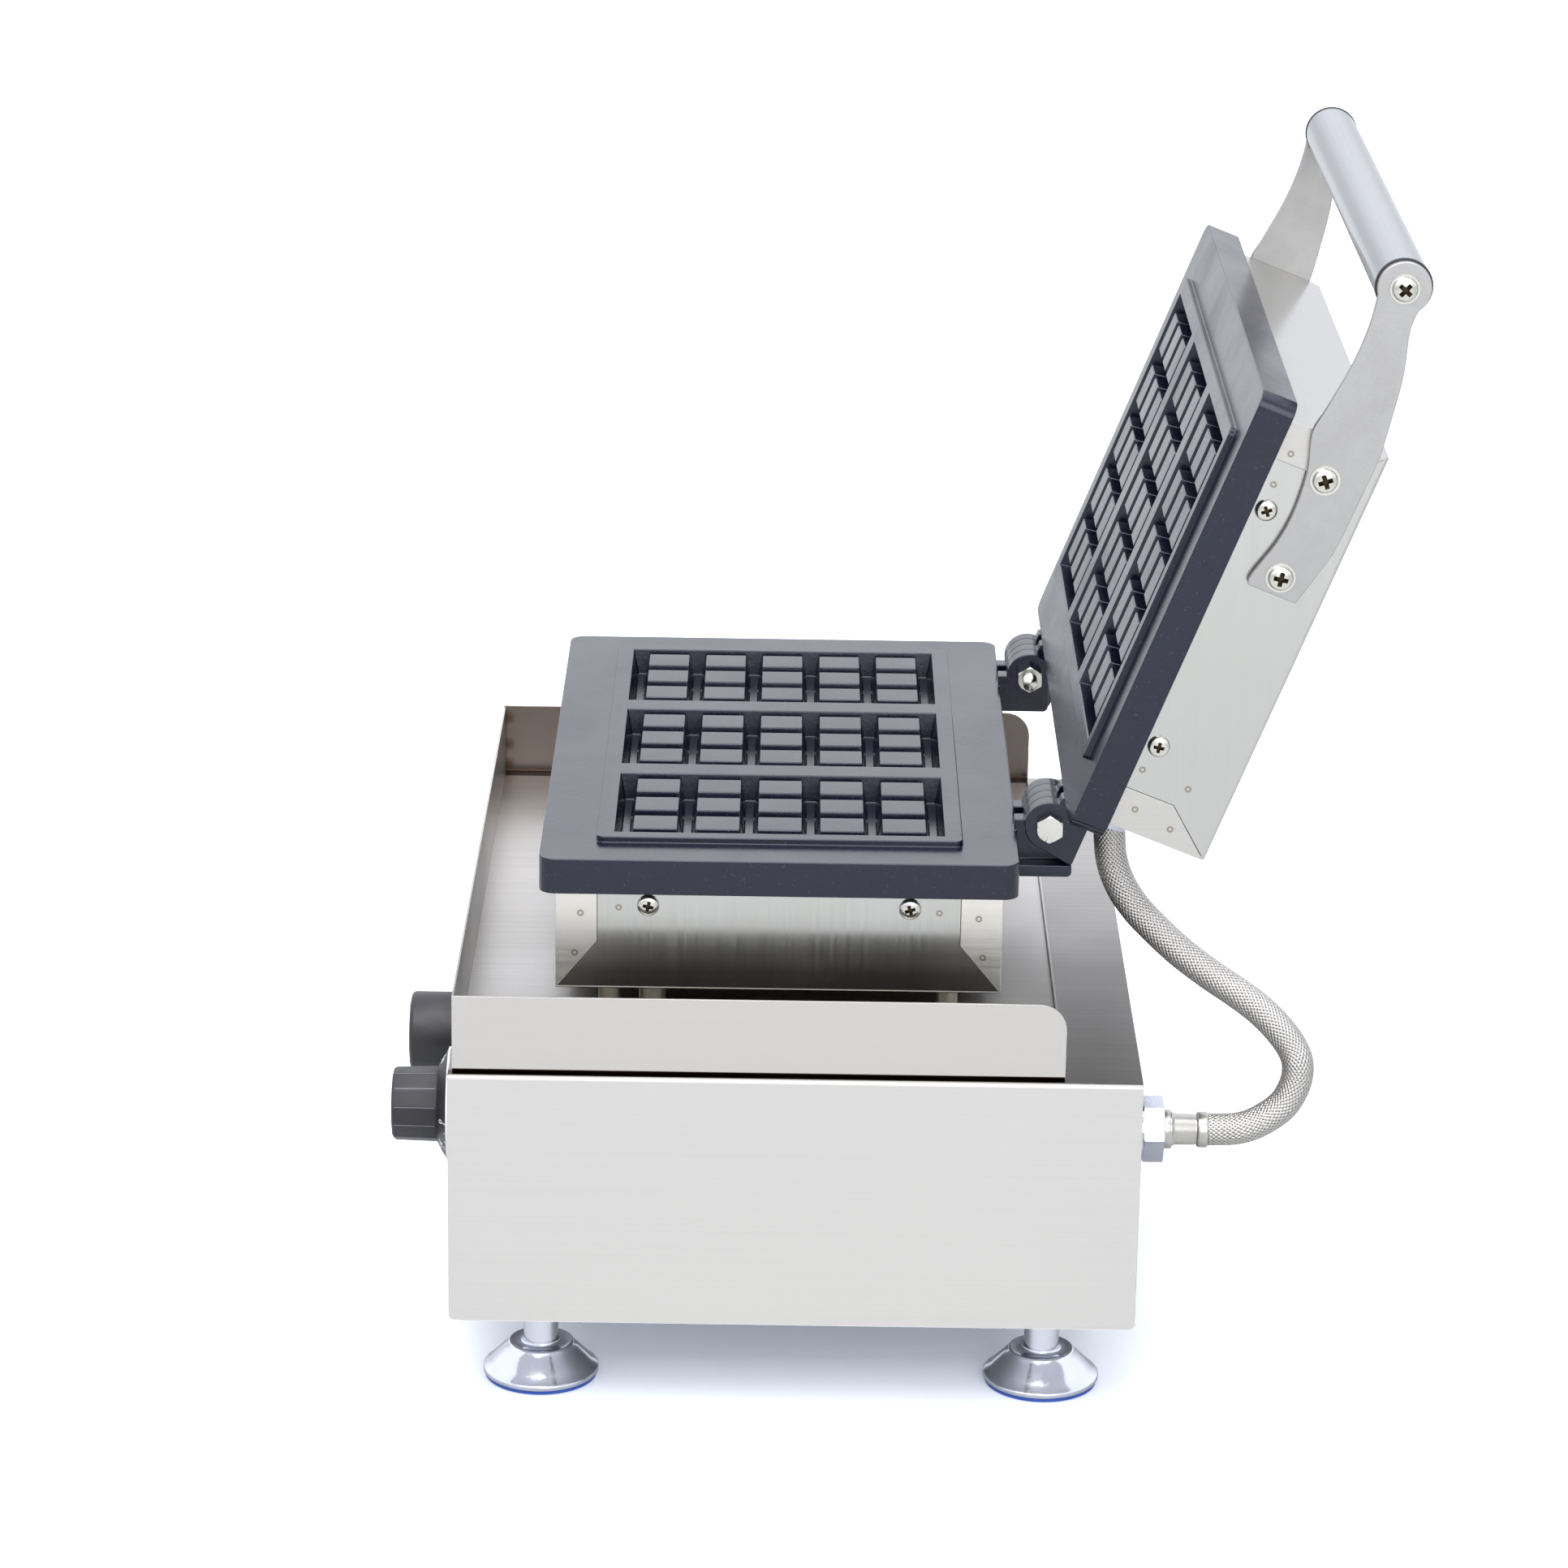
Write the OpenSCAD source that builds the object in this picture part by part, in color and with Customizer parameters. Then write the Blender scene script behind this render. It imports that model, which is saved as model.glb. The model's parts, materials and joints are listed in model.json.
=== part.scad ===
// Belgian waffle maker for the counter: three cavities and a hinged upper half
// Lengths are in millimetres. X runs across the machine, its right side at +X,
// Y runs from the front panel to the rear, and Z runs up from the floor.

/* [Body] */
// Width of the sheet-steel body
body_w = 490; // [480:1:520]
// Depth of the body
body_d = 350; // [340:1:380]
// Height of the body's sides
body_h = 134; // [125:1:150]
// Thickness of the body's sheet
sheet_t = 1.5; // [1:0.1:2]
// Bend radius along the top edges
bend_r = 2.5; // [2:0.1:4]
// Corner radius at both ends of the bottom edge
corner_r = 3.3; // [2.5:0.1:5]
// Width of the folded flanges
flange_w = 14; // [13:1:18]
// Distance of the base plate's edge from the body's faces
base_inset = 3; // [2:0.5:5]

/* [Feet] */
// Height of the body's bottom edge above the floor
foot_h = 48.5; // [44:0.5:58]
// Diameter of a foot's rim
foot_d = 60; // [52:1:66]
// Distance of a foot's centre from the body's faces
foot_inset = 45; // [36:1:60]
// Height of the straight rim band
rim_h = 3; // [2:0.5:5]
// Height of the bell above the rim
bell_h = 14; // [10:1:18]
// Diameter of the bell's shoulder
shoulder_d = 32; // [26:1:38]
// Diameter of the neck
neck_d = 18; // [16:1:22]
// Diameter of the levelling bolt
foot_bolt_d = 10; // [8:1:12]
// Thickness of the blue pad under the foot
pad_t = 1.5; // [1:0.1:3]

/* [Spill tray] */
// Height of the tray's walls
tray_h = 41; // [34:1:50]
// Depth of the tray, front to rear
tray_d = 308.5; // [300:0.5:330]
// Distance of the tray from the body's side faces
tray_inset = 4; // [3:0.5:8]
// Distance of the tray's front wall from the body's front face
tray_front = 2.2; // [1:0.1:5]
// Thickness of the tray's sheet
tray_t = 1.2; // [1:0.1:1.5]
// Fold radius along the tray's bottom edges
tray_fold_r = 2.5; // [2:0.1:4]
// Radius of the side walls' rear top corners
tray_corner_r = 14; // [8:1:20]
// Height of the low lip along the open rear edge
tray_lip_h = 3; // [2:0.5:6]

/* [Waffle plates] */
// Width of a plate
plate_w = 390; // [382:1:410]
// Depth of a plate
plate_d = 243.5; // [238:0.5:260]
// Distance of the plates' front edge behind the body's front face
plate_front = 43.5; // [38:0.5:50]
// Thickness of a plate at its edge
plate_t = 18.6; // [17:0.1:24]
// Corner radius of a plate
plate_r = 8; // [5:1:12]
// Width of the raised pad round the cavities
pad_w = 336; // [330:1:350]
// Depth of the raised pad
pad_d = 187; // [182:1:196]
// Height of the raised pad
pad_h = 3.2; // [2:0.1:5]
// Gap between the two pads with the lid closed
press_gap = 0.8; // [0.5:0.1:2]
// Width of a cavity at its rim
cavity_w = 95; // [92:1:100]
// Length of a cavity at its rim
cavity_l = 169; // [166:1:175]
// Distance between neighbouring cavities' centres
cavity_pitch = 112; // [108:1:116]
// Depth of a cavity
cavity_depth = 14; // [11:0.5:15]
// Draft angle of every cast wall, degrees
draft = 10; // [6:1:12]
// Length of a grid block's top
block_l = 22.5; // [19:0.5:24]
// Width of a grid block's top
block_w = 21; // [18:0.5:22.5]
// Distance between block centres along a cavity
block_pitch_l = 32; // [30:0.5:33]
// Distance between block centres across a cavity
block_pitch_w = 30; // [28:0.5:31]
// Distance of the block tops below the pad
block_drop = 0.6; // [0.2:0.1:2]

/* [Heater boxes] */
// Width of a heater box over its side walls
box_w = 377.6; // [370:0.2:381]
// Depth of a heater box
box_d = 227; // [222:0.5:230]
// Distance of the box behind the plates' front edge
box_back = 8.5; // [6:0.5:12]
// Height of a heater box behind its plate
box_h = 53.2; // [48:0.1:62]
// Thickness of the box's sheet
box_t = 1; // [0.8:0.1:1.2]
// Bend radius of the box's long edges
box_bend_r = 2; // [1.5:0.1:3]
// Length of the end walls' tabs along the sides
tab_l = 21; // [16:1:26]
// Height of the straight part of a tab's edge
tab_h = 27; // [22:1:32]
// Height of the gap between the spill tray and the lower box
leg_h = 25.3; // [18:0.1:35]
// Diameter of the four legs
leg_d = 12; // [10:0.5:16]
// Distance between the legs' centres across the machine
leg_span_x = 300; // [270:1:308]
// Distance between the legs' centres along the machine
leg_span_y = 174; // [160:1:180]
// Distance of the box screws' line from the plate's back
lug_drop = 7.5; // [6:0.5:10]
// Distance of the box screws' centres from the box's ends
lug_inset = 47; // [40:1:54]

/* [Heating] */
// Diameter of the tubular heating element
element_d = 8; // [6:0.5:9]
// Number of straight runs of the element
element_runs = 6; // [4:2:6]
// Distance between neighbouring runs
element_pitch = 32; // [30:1:34]
// Length of a straight run
element_run = 290; // [260:1:300]
// Thickness of the clamp plate
clamp_t = 2; // [1.5:0.1:3]
// Thickness of the ceramic-fibre blanket
blanket_t = 34; // [25:0.5:35]

/* [Hinges] */
// Distance of the hinge axis behind the plates' rear edge
hinge_back = 16.5; // [16:0.1:19]
// Height of the hinge axis above the parting plane
hinge_rise = 2.5; // [1.5:0.1:4]
// Angle between the plates in the open pose shown, degrees
open_angle = 111.5; // [104:0.5:113]
// Radius of the leaves' round ends
leaf_r = 12.75; // [11:0.05:13]
// Thickness of a hinge leaf
leaf_t = 10.2; // [9:0.1:11]
// Running gap between neighbouring leaves
leaf_gap = 0.3; // [0.25:0.05:0.5]
// Distance of a hinge's outer face from the middle of the machine
hinge_out = 150.5; // [146:0.5:160]
// Distance of the upper leaves' heel behind the axis
heel_back = 15.5; // [14:0.1:17]
// Height of the upper leaves' heel above the axis, lid closed
heel_rise = 18.8; // [17.5:0.1:19.5]
// Diameter of the hinge bolts
hinge_bolt_d = 8; // [6:1:10]

/* [Handle] */
// Distance of the handle's axis in front of the hinge axis, lid closed
handle_reach = 333.4; // [325:0.2:350]
// Height of the handle's axis above the hinge axis, lid closed
handle_rise = 43.4; // [38:0.2:50]
// Diameter of the handle tube
handle_d = 28; // [25:0.5:32]
// Wall of the handle tube
handle_wall = 1.5; // [1:0.1:2]
// Thickness of the arms
arm_t = 4; // [3:0.1:5]
// Radius of an arm's round end
arm_end_r = 13.4; // [12.5:0.1:14]
// Distance of an arm's rear end behind the box's front wall
arm_lap = 84.5; // [80:0.5:95]

/* [Knobs] */
// Height of the knobs' axes above the body's bottom edge
knob_rise = 84; // [70:1:100]
// Distance of the thermostat knob from the middle of the machine
thermostat_x = 159; // [140:1:180]
// Distance of the timer knob from the middle of the machine
timer_x = 56; // [30:1:80]
// Reach of the thermostat knob in front of the body
thermostat_reach = 34; // [28:0.5:40]
// Diameter of the thermostat knob's grip
grip_d = 38; // [34:0.5:42]
// Diameter of the thermostat knob's dial skirt
dial_d = 59.4; // [52:0.2:64]
// Reach of the timer knob in front of the body
timer_reach = 33; // [26:0.5:40]
// Diameter of the timer knob
timer_d = 41; // [36:0.5:46]
// Diameter of both knob shafts
shaft_d = 6; // [5:0.5:8]

/* [Wiring] */
// Distance of the hose's gland from the middle of the machine
gland_x = 173; // [170:1:176]
// Height of the gland above the body's bottom edge
gland_rise = 81.5; // [80:0.5:83]
// Size across flats of the gland's nut
gland_af = 30; // [28:0.5:33]
// Outer diameter of the braided hose
hose_d = 17; // [15:0.5:18]
// Distance of the lid connector from the middle of the machine
connector_x = 130; // [128:1:132]
// Distance of the mains inlet from the middle of the machine, on the left
inlet_x = 150; // [120:1:180]
// Height of the mains inlet above the body's bottom edge
inlet_rise = 60; // [50:1:80]

/* [Hidden] */
$fn = 48;
over = 1;
// Side clearance between sheets and blocks that only slip together
fit = 0.2;
// Radial running clearance of shafts, pins and bolts in their bores
bore_fit = 0.05;
// Gap between surfaces that move past each other or meet at a stop
move_gap = 0.3;

// Heights, from the floor up
body_z = foot_h;
top_z = body_z + body_h;
deck_z = top_z + tray_t;
box_z = deck_z + leg_h;
back_z = box_z + box_h;
face_z = back_z + plate_t;
rim_z = face_z + pad_h;
part_z = rim_z + press_gap / 2;
axis_z = part_z + hinge_rise;
knob_z = body_z + knob_rise;
gland_z = body_z + gland_rise;
inlet_z = body_z + inlet_rise;

// Depths, from the body's front face
plate_rear = plate_front + plate_d;
plate_mid = plate_front + plate_d / 2;
axis_y = plate_rear + hinge_back;
box_y0 = plate_front + box_back;
box_y1 = box_y0 + box_d;
box_mid = (box_y0 + box_y1) / 2;
tray_y1 = tray_front + tray_d;
handle_y = axis_y - handle_reach;
handle_z = axis_z + handle_rise;

// Where a point of the closed lid lies in the open pose, about the hinge axis
co = cos(open_angle);
so = sin(open_angle);
function opened(y, z) = [
    axis_y + co * (y - axis_y) + so * (z - axis_z),
    axis_z - so * (y - axis_y) + co * (z - axis_z)
];

// The model is centred between the knob's face and the open handle's back
plug_flange_r = handle_d / 2 + 0.4;
rear_reach = opened(handle_y, handle_z)[0] + plug_flange_r;
centre_y = (rear_reach - thermostat_reach) / 2;
module placed() translate([0, -centre_y, 0]) children();
module lid()
    placed()
        translate([0, axis_y, axis_z])
            rotate([-open_angle, 0, 0])
                translate([0, -axis_y, -axis_z])
                    children();
// The upper half is the lower one turned over at the parting plane
module upper_half()
    lid()
        translate([0, 0, 2 * part_z])
            mirror([0, 0, 1])
                children();

// Profiles drawn in the Y-Z plane run along X, those in X-Z run along Y
module along_x(x0, x1)
    translate([x0, 0, 0])
        rotate([90, 0, 90])
            linear_extrude(x1 - x0)
                children();
module along_y(y0, y1)
    translate([0, y1, 0])
        rotate([90, 0, 0])
            linear_extrude(y1 - y0)
                children();

// Basic shapes, each placed by its limits
module block(x0, x1, y0, y1, z0, z1)
    translate([x0, y0, z0])
        cube([x1 - x0, y1 - y0, z1 - z0]);
module rod_x(d, x0, x1, y, z)
    translate([x0, y, z])
        rotate([0, 90, 0])
            cylinder(d = d, h = x1 - x0);
module rod_y(d, y0, y1, x, z)
    translate([x, y1, z])
        rotate([90, 0, 0])
            cylinder(d = d, h = y1 - y0);
module rod_z(d, z0, z1, x = 0, y = 0)
    translate([x, y, z0])
        cylinder(d = d, h = z1 - z0);
module hex_z(af, z0, z1, x = 0, y = 0)
    translate([x, y, z0])
        cylinder(d = af / cos(30), h = z1 - z0, $fn = 6);
module round_rect(w, h, r) {
    square([w - 2 * r, h], center = true);
    square([w, h - 2 * r], center = true);
    for (i = [-1, 1], j = [-1, 1])
        translate([i * (w / 2 - r), j * (h / 2 - r)])
            circle(r);
}

module long_hole(w, l) {
    square([w, l - w], center = true);
    for (j = [-1, 1])
        translate([0, j * (l - w) / 2])
            circle(d = w);
}

// Screw with a domed head, its seat at the origin and its head towards +Z
module dome_screw(head_d, head_h, shank_d, shank_l) {
    ball_r = (head_d * head_d / 4 + head_h * head_h) / (2 * head_h);
    intersection() {
        translate([0, 0, head_h - ball_r])
            sphere(ball_r);
        cylinder(d = head_d, h = head_h);
    }
    translate([0, 0, -shank_l])
        cylinder(d = shank_d, h = shank_l);
}
// The same screw facing out of the side face on side s
module side_screw(s, x, y, z, head_d, head_h, shank_d, shank_l)
    translate([s * x, y, z])
        rotate([0, s * 90, 0])
            dome_screw(head_d, head_h, shank_d, shank_l);

// Smooth curve through hand-chosen points, as a list of points
function curve_point(p0, p1, p2, p3, t) = 0.5 * (2 * p1 + (p2 - p0) * t
    + (2 * p0 - 5 * p1 + 4 * p2 - p3) * t * t
    + (3 * p1 - p0 - 3 * p2 + p3) * t * t * t);
function curve(p, steps) = [
    for (i = [0 : len(p) - 2], k = [0 : steps - 1])
        curve_point(p[max(i - 1, 0)], p[i], p[i + 1],
            p[min(i + 2, len(p) - 1)], k / steps),
    p[len(p) - 1]
];

// Body sheet
side_x = body_w / 2;
inner_x = side_x - sheet_t;
inner_bend_r = max(bend_r - sheet_t, 0.3);
leg_points = [
    for (i = [-1, 1], j = [-1, 1])
        [i * leg_span_x / 2, box_mid + j * leg_span_y / 2]
];
leg_bolt_d = 6;
leg_hole_d = leg_bolt_d + 0.4;
conduit_d = 14;
conduit_x = leg_span_x / 2;
conduit_y = box_mid - leg_span_y / 2 + 22;
conduit_hole_d = conduit_d + 2 * fit;
base_screw_d = 4;
base_screw_x = side_x - flange_w / 2 - 1;
base_screw_points = [
    for (s = [-1, 1], j = [-1, 0, 1])
        [s * base_screw_x, body_d / 2 + j * body_d * 0.31],
    for (i = [-1, 1], e = [-1, 1])
        [i * body_w / 5, body_d / 2 + e * (body_d - flange_w - 1) / 2]
];

module housing()
    placed() color("gainsboro")
        difference() {
            union() {
                difference() {
                    intersection() {
                        along_y(0, body_d)
                            top_bent(side_x, body_z, top_z, bend_r);
                        along_x(-side_x, side_x)
                            foot_rounded();
                    }
                    along_y(-over, body_d + over)
                        top_bent(inner_x, body_z - over, top_z - sheet_t,
                            inner_bend_r);
                }
                for (s = [-1, 1])
                    block(min(s * inner_x, s * (side_x - flange_w)),
                        max(s * inner_x, s * (side_x - flange_w)),
                        flange_w + 2, body_d - flange_w - 2,
                        body_z, body_z + sheet_t);
            }
            for (p = leg_points)
                rod_z(leg_hole_d, top_z - 5, top_z + over, p[0], p[1]);
            rod_z(conduit_hole_d, top_z - 5, top_z + over,
                conduit_x, conduit_y);
            base_holes();
        }
// Section across a sheet cover that is bent along both top edges
module top_bent(half_w, z0, z1, r) {
    translate([-half_w, z0])
        square([2 * half_w, z1 - z0 - r]);
    translate([-half_w + r, z0])
        square([2 * (half_w - r), z1 - z0]);
    for (s = [-1, 1])
        translate([s * (half_w - r), z1 - r])
            circle(r);
}
// Outline of a side face, with both bottom corners rounded
module foot_rounded() {
    translate([0, body_z + corner_r])
        square([body_d, body_h - corner_r]);
    translate([corner_r, body_z])
        square([body_d - 2 * corner_r, body_h]);
    for (y = [corner_r, body_d - corner_r])
        translate([y, body_z + corner_r])
            circle(corner_r);
}
module base_holes()
    for (p = base_screw_points)
        rod_z(base_screw_d + 2 * bore_fit, body_z - sheet_t - over,
            body_z + sheet_t + over, p[0], p[1]);

// Profile of an end panel: a sheet folded back along its bottom and its top
module panel_profile() {
    inner_r = corner_r - sheet_t;
    panel_top = top_z - sheet_t - fit;
    intersection() {
        translate([corner_r, body_z + corner_r])
            difference() {
                circle(corner_r);
                circle(inner_r);
            }
        translate([0, body_z])
            square(corner_r);
    }
    translate([0, body_z + corner_r])
        square([sheet_t, panel_top - body_z - corner_r]);
    translate([corner_r, body_z])
        square([flange_w - corner_r, sheet_t]);
    translate([0, panel_top - sheet_t])
        square([flange_w, sheet_t]);
}
panel_x = inner_x - fit;
module front_panel()
    placed() color("gainsboro")
        difference() {
            along_x(-panel_x, panel_x)
                panel_profile();
            for (x = [thermostat_x, timer_x])
                rod_y(bushing_d + 2 * fit, -over, sheet_t + over, x, knob_z);
            base_holes();
        }
vent_w = 4;
vent_l = 32;
module rear_panel()
    placed() color("gainsboro")
        difference() {
            translate([0, body_d, 0])
                mirror([0, 1, 0])
                    along_x(-panel_x, panel_x)
                        panel_profile();
            translate([0, body_d, 0]) {
                rod_y(gland_barrel_d + 2 * fit, -5, over, gland_x, gland_z);
                block(-inlet_x - inlet_w / 2, -inlet_x + inlet_w / 2,
                    -5, over, inlet_z - inlet_h / 2, inlet_z + inlet_h / 2);
                for (i = [-4 : 4])
                    translate([i * 3 * vent_w, over, knob_z])
                        rotate([90, 0, 0])
                            linear_extrude(5)
                                long_hole(vent_w, vent_l);
            }
            base_holes();
        }
foot_points = [
    for (y = [foot_inset, body_d - foot_inset], s = [1, -1])
        [s * (side_x - foot_inset), y]
];
module base_plate()
    placed() color("silver")
        difference() {
            translate([0, body_d / 2, body_z - sheet_t])
                linear_extrude(sheet_t)
                    round_rect(body_w - 2 * base_inset,
                        body_d - 2 * base_inset, corner_r + 2);
            for (p = foot_points)
                rod_z(foot_bolt_d + 2 * bore_fit, body_z - sheet_t - over,
                    body_z + over, p[0], p[1]);
            for (i = [-5 : 5], j = [-1, 1])
                translate([i * 5 * vent_w, body_d / 2 + j * vent_l,
                    body_z - sheet_t - over])
                    linear_extrude(sheet_t + 2 * over)
                        long_hole(vent_w, vent_l);
            base_holes();
        }
module base_screws()
    placed() color("silver")
        for (p = base_screw_points)
            translate([p[0], p[1], body_z - sheet_t])
                rotate([180, 0, 0])
                    dome_screw(8, 2.2, base_screw_d, 2 * sheet_t + 4);

// Levelling feet: a hollow bell that turns on a fixed bolt
foot_rim_z = pad_t + rim_h;
shoulder_z = foot_rim_z + bell_h;
foot_top_z = body_z - sheet_t - move_gap;
bell_t = 2;
bell_steps = 6;
function bell_r(t) = shoulder_d / 2 + (foot_d - shoulder_d) / 2 * pow(1 - t, 1.5);
bore_bottom_z = shoulder_z + 2;
module foot_bolts()
    placed() color("silver")
        for (p = foot_points)
            translate([p[0], p[1], 0]) {
                rod_z(foot_bolt_d, bore_bottom_z + 2, body_z);
                hex_z(foot_bolt_d * 1.7, body_z, body_z + foot_bolt_d * 0.65);
            }
module foot(i)
    placed() color("lightsteelblue")
        translate([foot_points[i][0], foot_points[i][1], 0])
            difference() {
                union() {
                    rotate_extrude()
                        polygon(concat([[0, pad_t], [foot_d / 2, pad_t]],
                            [for (k = [0 : bell_steps])
                                [bell_r(k / bell_steps),
                                    foot_rim_z + bell_h * k / bell_steps]],
                            [[neck_d / 2, shoulder_z + 1.5], [0, shoulder_z + 1.5]]));
                    rod_z(neck_d, shoulder_z, foot_top_z);
                }
                rotate_extrude()
                    polygon(concat([[0, pad_t - over],
                        [foot_d / 2 - bell_t, pad_t - over]],
                        [for (k = [0 : bell_steps - 1])
                            [bell_r(k / bell_steps) - bell_t,
                                foot_rim_z + bell_h * k / bell_steps - bell_t]],
                        [[0, shoulder_z - bell_t - 1]]));
                rod_z(foot_bolt_d + 2 * bore_fit, bore_bottom_z,
                    foot_top_z + over);
            }
module foot_pad(i)
    placed() color("royalblue")
        rod_z(foot_d - 2, 0, pad_t, foot_points[i][0], foot_points[i][1]);
module foot_front_right() foot(0);
module foot_front_left() foot(1);
module foot_rear_right() foot(2);
module foot_rear_left() foot(3);
module foot_pad_front_right() foot_pad(0);
module foot_pad_front_left() foot_pad(1);
module foot_pad_rear_right() foot_pad(2);
module foot_pad_rear_left() foot_pad(3);

// Knobs, shafts and the controls behind the front panel
bushing_d = 10;
hub_gap = 0.5;
knob_bore_l = 16;
skirt_front = 12;
skirt_rear = 7.3;
flute_count = 18;
knob_bore_d = shaft_d + 2 * bore_fit;
module thermostat_knob()
    placed() color("#26262a")
        translate([thermostat_x, 0, knob_z])
            rotate([90, 0, 0])
                difference() {
                    union() {
                        translate([0, 0, skirt_front])
                            cylinder(d1 = grip_d, d2 = grip_d - 1,
                                h = thermostat_reach - skirt_front);
                        translate([0, 0, skirt_rear])
                            cylinder(d1 = dial_d, d2 = grip_d + 4,
                                h = skirt_front - skirt_rear);
                        translate([0, 0, hub_gap])
                            cylinder(d = grip_d - 10, h = skirt_rear);
                    }
                    for (k = [0 : flute_count - 1])
                        rotate([0, 0, k * 360 / flute_count])
                            translate([grip_d / 2 + 0.6, 0, skirt_front + 2])
                                cylinder(d = 3, h = thermostat_reach);
                    translate([0, 0, hub_gap - over])
                        cylinder(d = knob_bore_d, h = knob_bore_l + over);
                }
module timer_knob()
    placed() color("#26262a")
        translate([timer_x, 0, knob_z])
            rotate([90, 0, 0])
                difference() {
                    union() {
                        translate([0, 0, hub_gap + 1])
                            cylinder(d = timer_d, h = timer_reach - 3.5);
                        translate([0, 0, timer_reach - 2.5])
                            cylinder(d1 = timer_d, d2 = timer_d - 4, h = 2);
                        translate([0, 0, timer_reach - 2])
                            cylinder(d = timer_d / 2, h = 2);
                        translate([0, 0, hub_gap])
                            cylinder(d = timer_d - 12, h = 2);
                    }
                    for (k = [0 : flute_count - 1])
                        rotate([0, 0, k * 360 / flute_count])
                            translate([timer_d / 2 + 0.8, 0, hub_gap + 4])
                                cylinder(d = 3, h = timer_reach);
                    translate([0, 0, hub_gap - over])
                        cylinder(d = knob_bore_d, h = knob_bore_l + over);
                }
shaft_in = 18;
module knob_shaft(x)
    placed() color("silver")
        rod_y(shaft_d, -hub_gap - knob_bore_l + 0.5, shaft_in, x, knob_z);
module thermostat_shaft() knob_shaft(thermostat_x);
module timer_shaft() knob_shaft(timer_x);
control_y = sheet_t + fit;
module control_body(x, w, h, l)
    placed() color("beige")
        difference() {
            union() {
                rod_y(bushing_d, 0, control_y, x, knob_z);
                block(x - w / 2, x + w / 2, control_y, control_y + 2,
                    knob_z - h / 2 - 6, knob_z + h / 2 + 6);
                block(x - w / 2, x + w / 2, control_y, control_y + l,
                    knob_z - h / 2, knob_z + h / 2);
            }
            rod_y(shaft_d + 2 * bore_fit, -over, shaft_in + 1, x, knob_z);
        }
thermostat_body_w = 42;
thermostat_body_h = 34;
thermostat_body_l = 34;
module thermostat_body()
    control_body(thermostat_x, thermostat_body_w, thermostat_body_h,
        thermostat_body_l);
timer_body_w = 46;
timer_body_l = 42;
module timer_body()
    control_body(timer_x, timer_body_w, timer_body_w, timer_body_l);

// Mains terminals and the recessed appliance inlet in the rear panel
terminal_inset = 90;
terminal_w = 72;
terminal_l = 24;
terminal_h = 20;
terminal_pitch = 13;
terminal_d = 6;
terminal_depth = 8;
module terminal_block()
    placed() color("ivory")
        translate([-inlet_x, body_d - terminal_inset, body_z + fit])
            difference() {
                block(-terminal_w / 2, terminal_w / 2, -terminal_l / 2,
                    terminal_l / 2, 0, terminal_h);
                for (i = [-2 : 2])
                    rod_z(terminal_d, terminal_h - terminal_depth,
                        terminal_h + 1, i * terminal_pitch, 0);
            }
inlet_w = 48;
inlet_h = 27.5;
inlet_depth = 28;
socket_w = 25;
socket_h = 17;
socket_l = 17;
module mains_inlet()
    placed() color("#26262a")
        translate([-inlet_x, body_d, inlet_z])
            difference() {
                union() {
                    along_y(0, 2)
                        round_rect(inlet_w + 6, inlet_h + 6, 3);
                    block(-inlet_w / 2 + fit, inlet_w / 2 - fit, -inlet_depth, 0,
                        -inlet_h / 2 + fit, inlet_h / 2 - fit);
                }
                block(-socket_w / 2, socket_w / 2, 2 - socket_l, 2 + over,
                    -socket_h / 2, socket_h / 2);
                inlet_blades(fit / 2);
            }
// Three flat blades, each a little wider and higher by the given gap
module inlet_blades(gap)
    for (p = [[-7, -1.5], [0, 2.5], [7, -1.5]])
        block(p[0] - 1 - gap, p[0] + 1 + gap, -inlet_depth - 6, -1,
            p[1] - 2 - gap, p[1] + 2 + gap);
module inlet_pins()
    placed() color("silver")
        translate([-inlet_x, body_d, inlet_z])
            inlet_blades(0);

// Spill tray: an open-backed sheet tray that lies on the body's top
tray_x = side_x - tray_inset;
module spill_tray()
    placed() color("lightgray")
        difference() {
            along_y(tray_front, tray_y1)
                mirror([0, 1])
                    top_bent(tray_x, -top_z - tray_h, -top_z, tray_fold_r);
            along_y(tray_front + tray_t, tray_y1 - tray_t)
                mirror([0, 1])
                    top_bent(tray_x - tray_t, -top_z - tray_h - over, -deck_z,
                        max(tray_fold_r - tray_t, 0.3));
            block(-tray_x + tray_t, tray_x - tray_t,
                tray_y1 - tray_t - over, tray_y1 + over,
                deck_z + tray_lip_h, top_z + tray_h + over);
            difference() {
                block(-tray_x - over, tray_x + over,
                    tray_y1 - tray_corner_r, tray_y1 + over,
                    top_z + tray_h - tray_corner_r, top_z + tray_h + over);
                rod_x(2 * tray_corner_r, -tray_x - 2 * over, tray_x + 2 * over,
                    tray_y1 - tray_corner_r, top_z + tray_h - tray_corner_r);
            }
            for (p = leg_points)
                rod_z(leg_hole_d, top_z - over, deck_z + over, p[0], p[1]);
            rod_z(conduit_hole_d, top_z - over, deck_z + over,
                conduit_x, conduit_y);
        }

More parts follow.
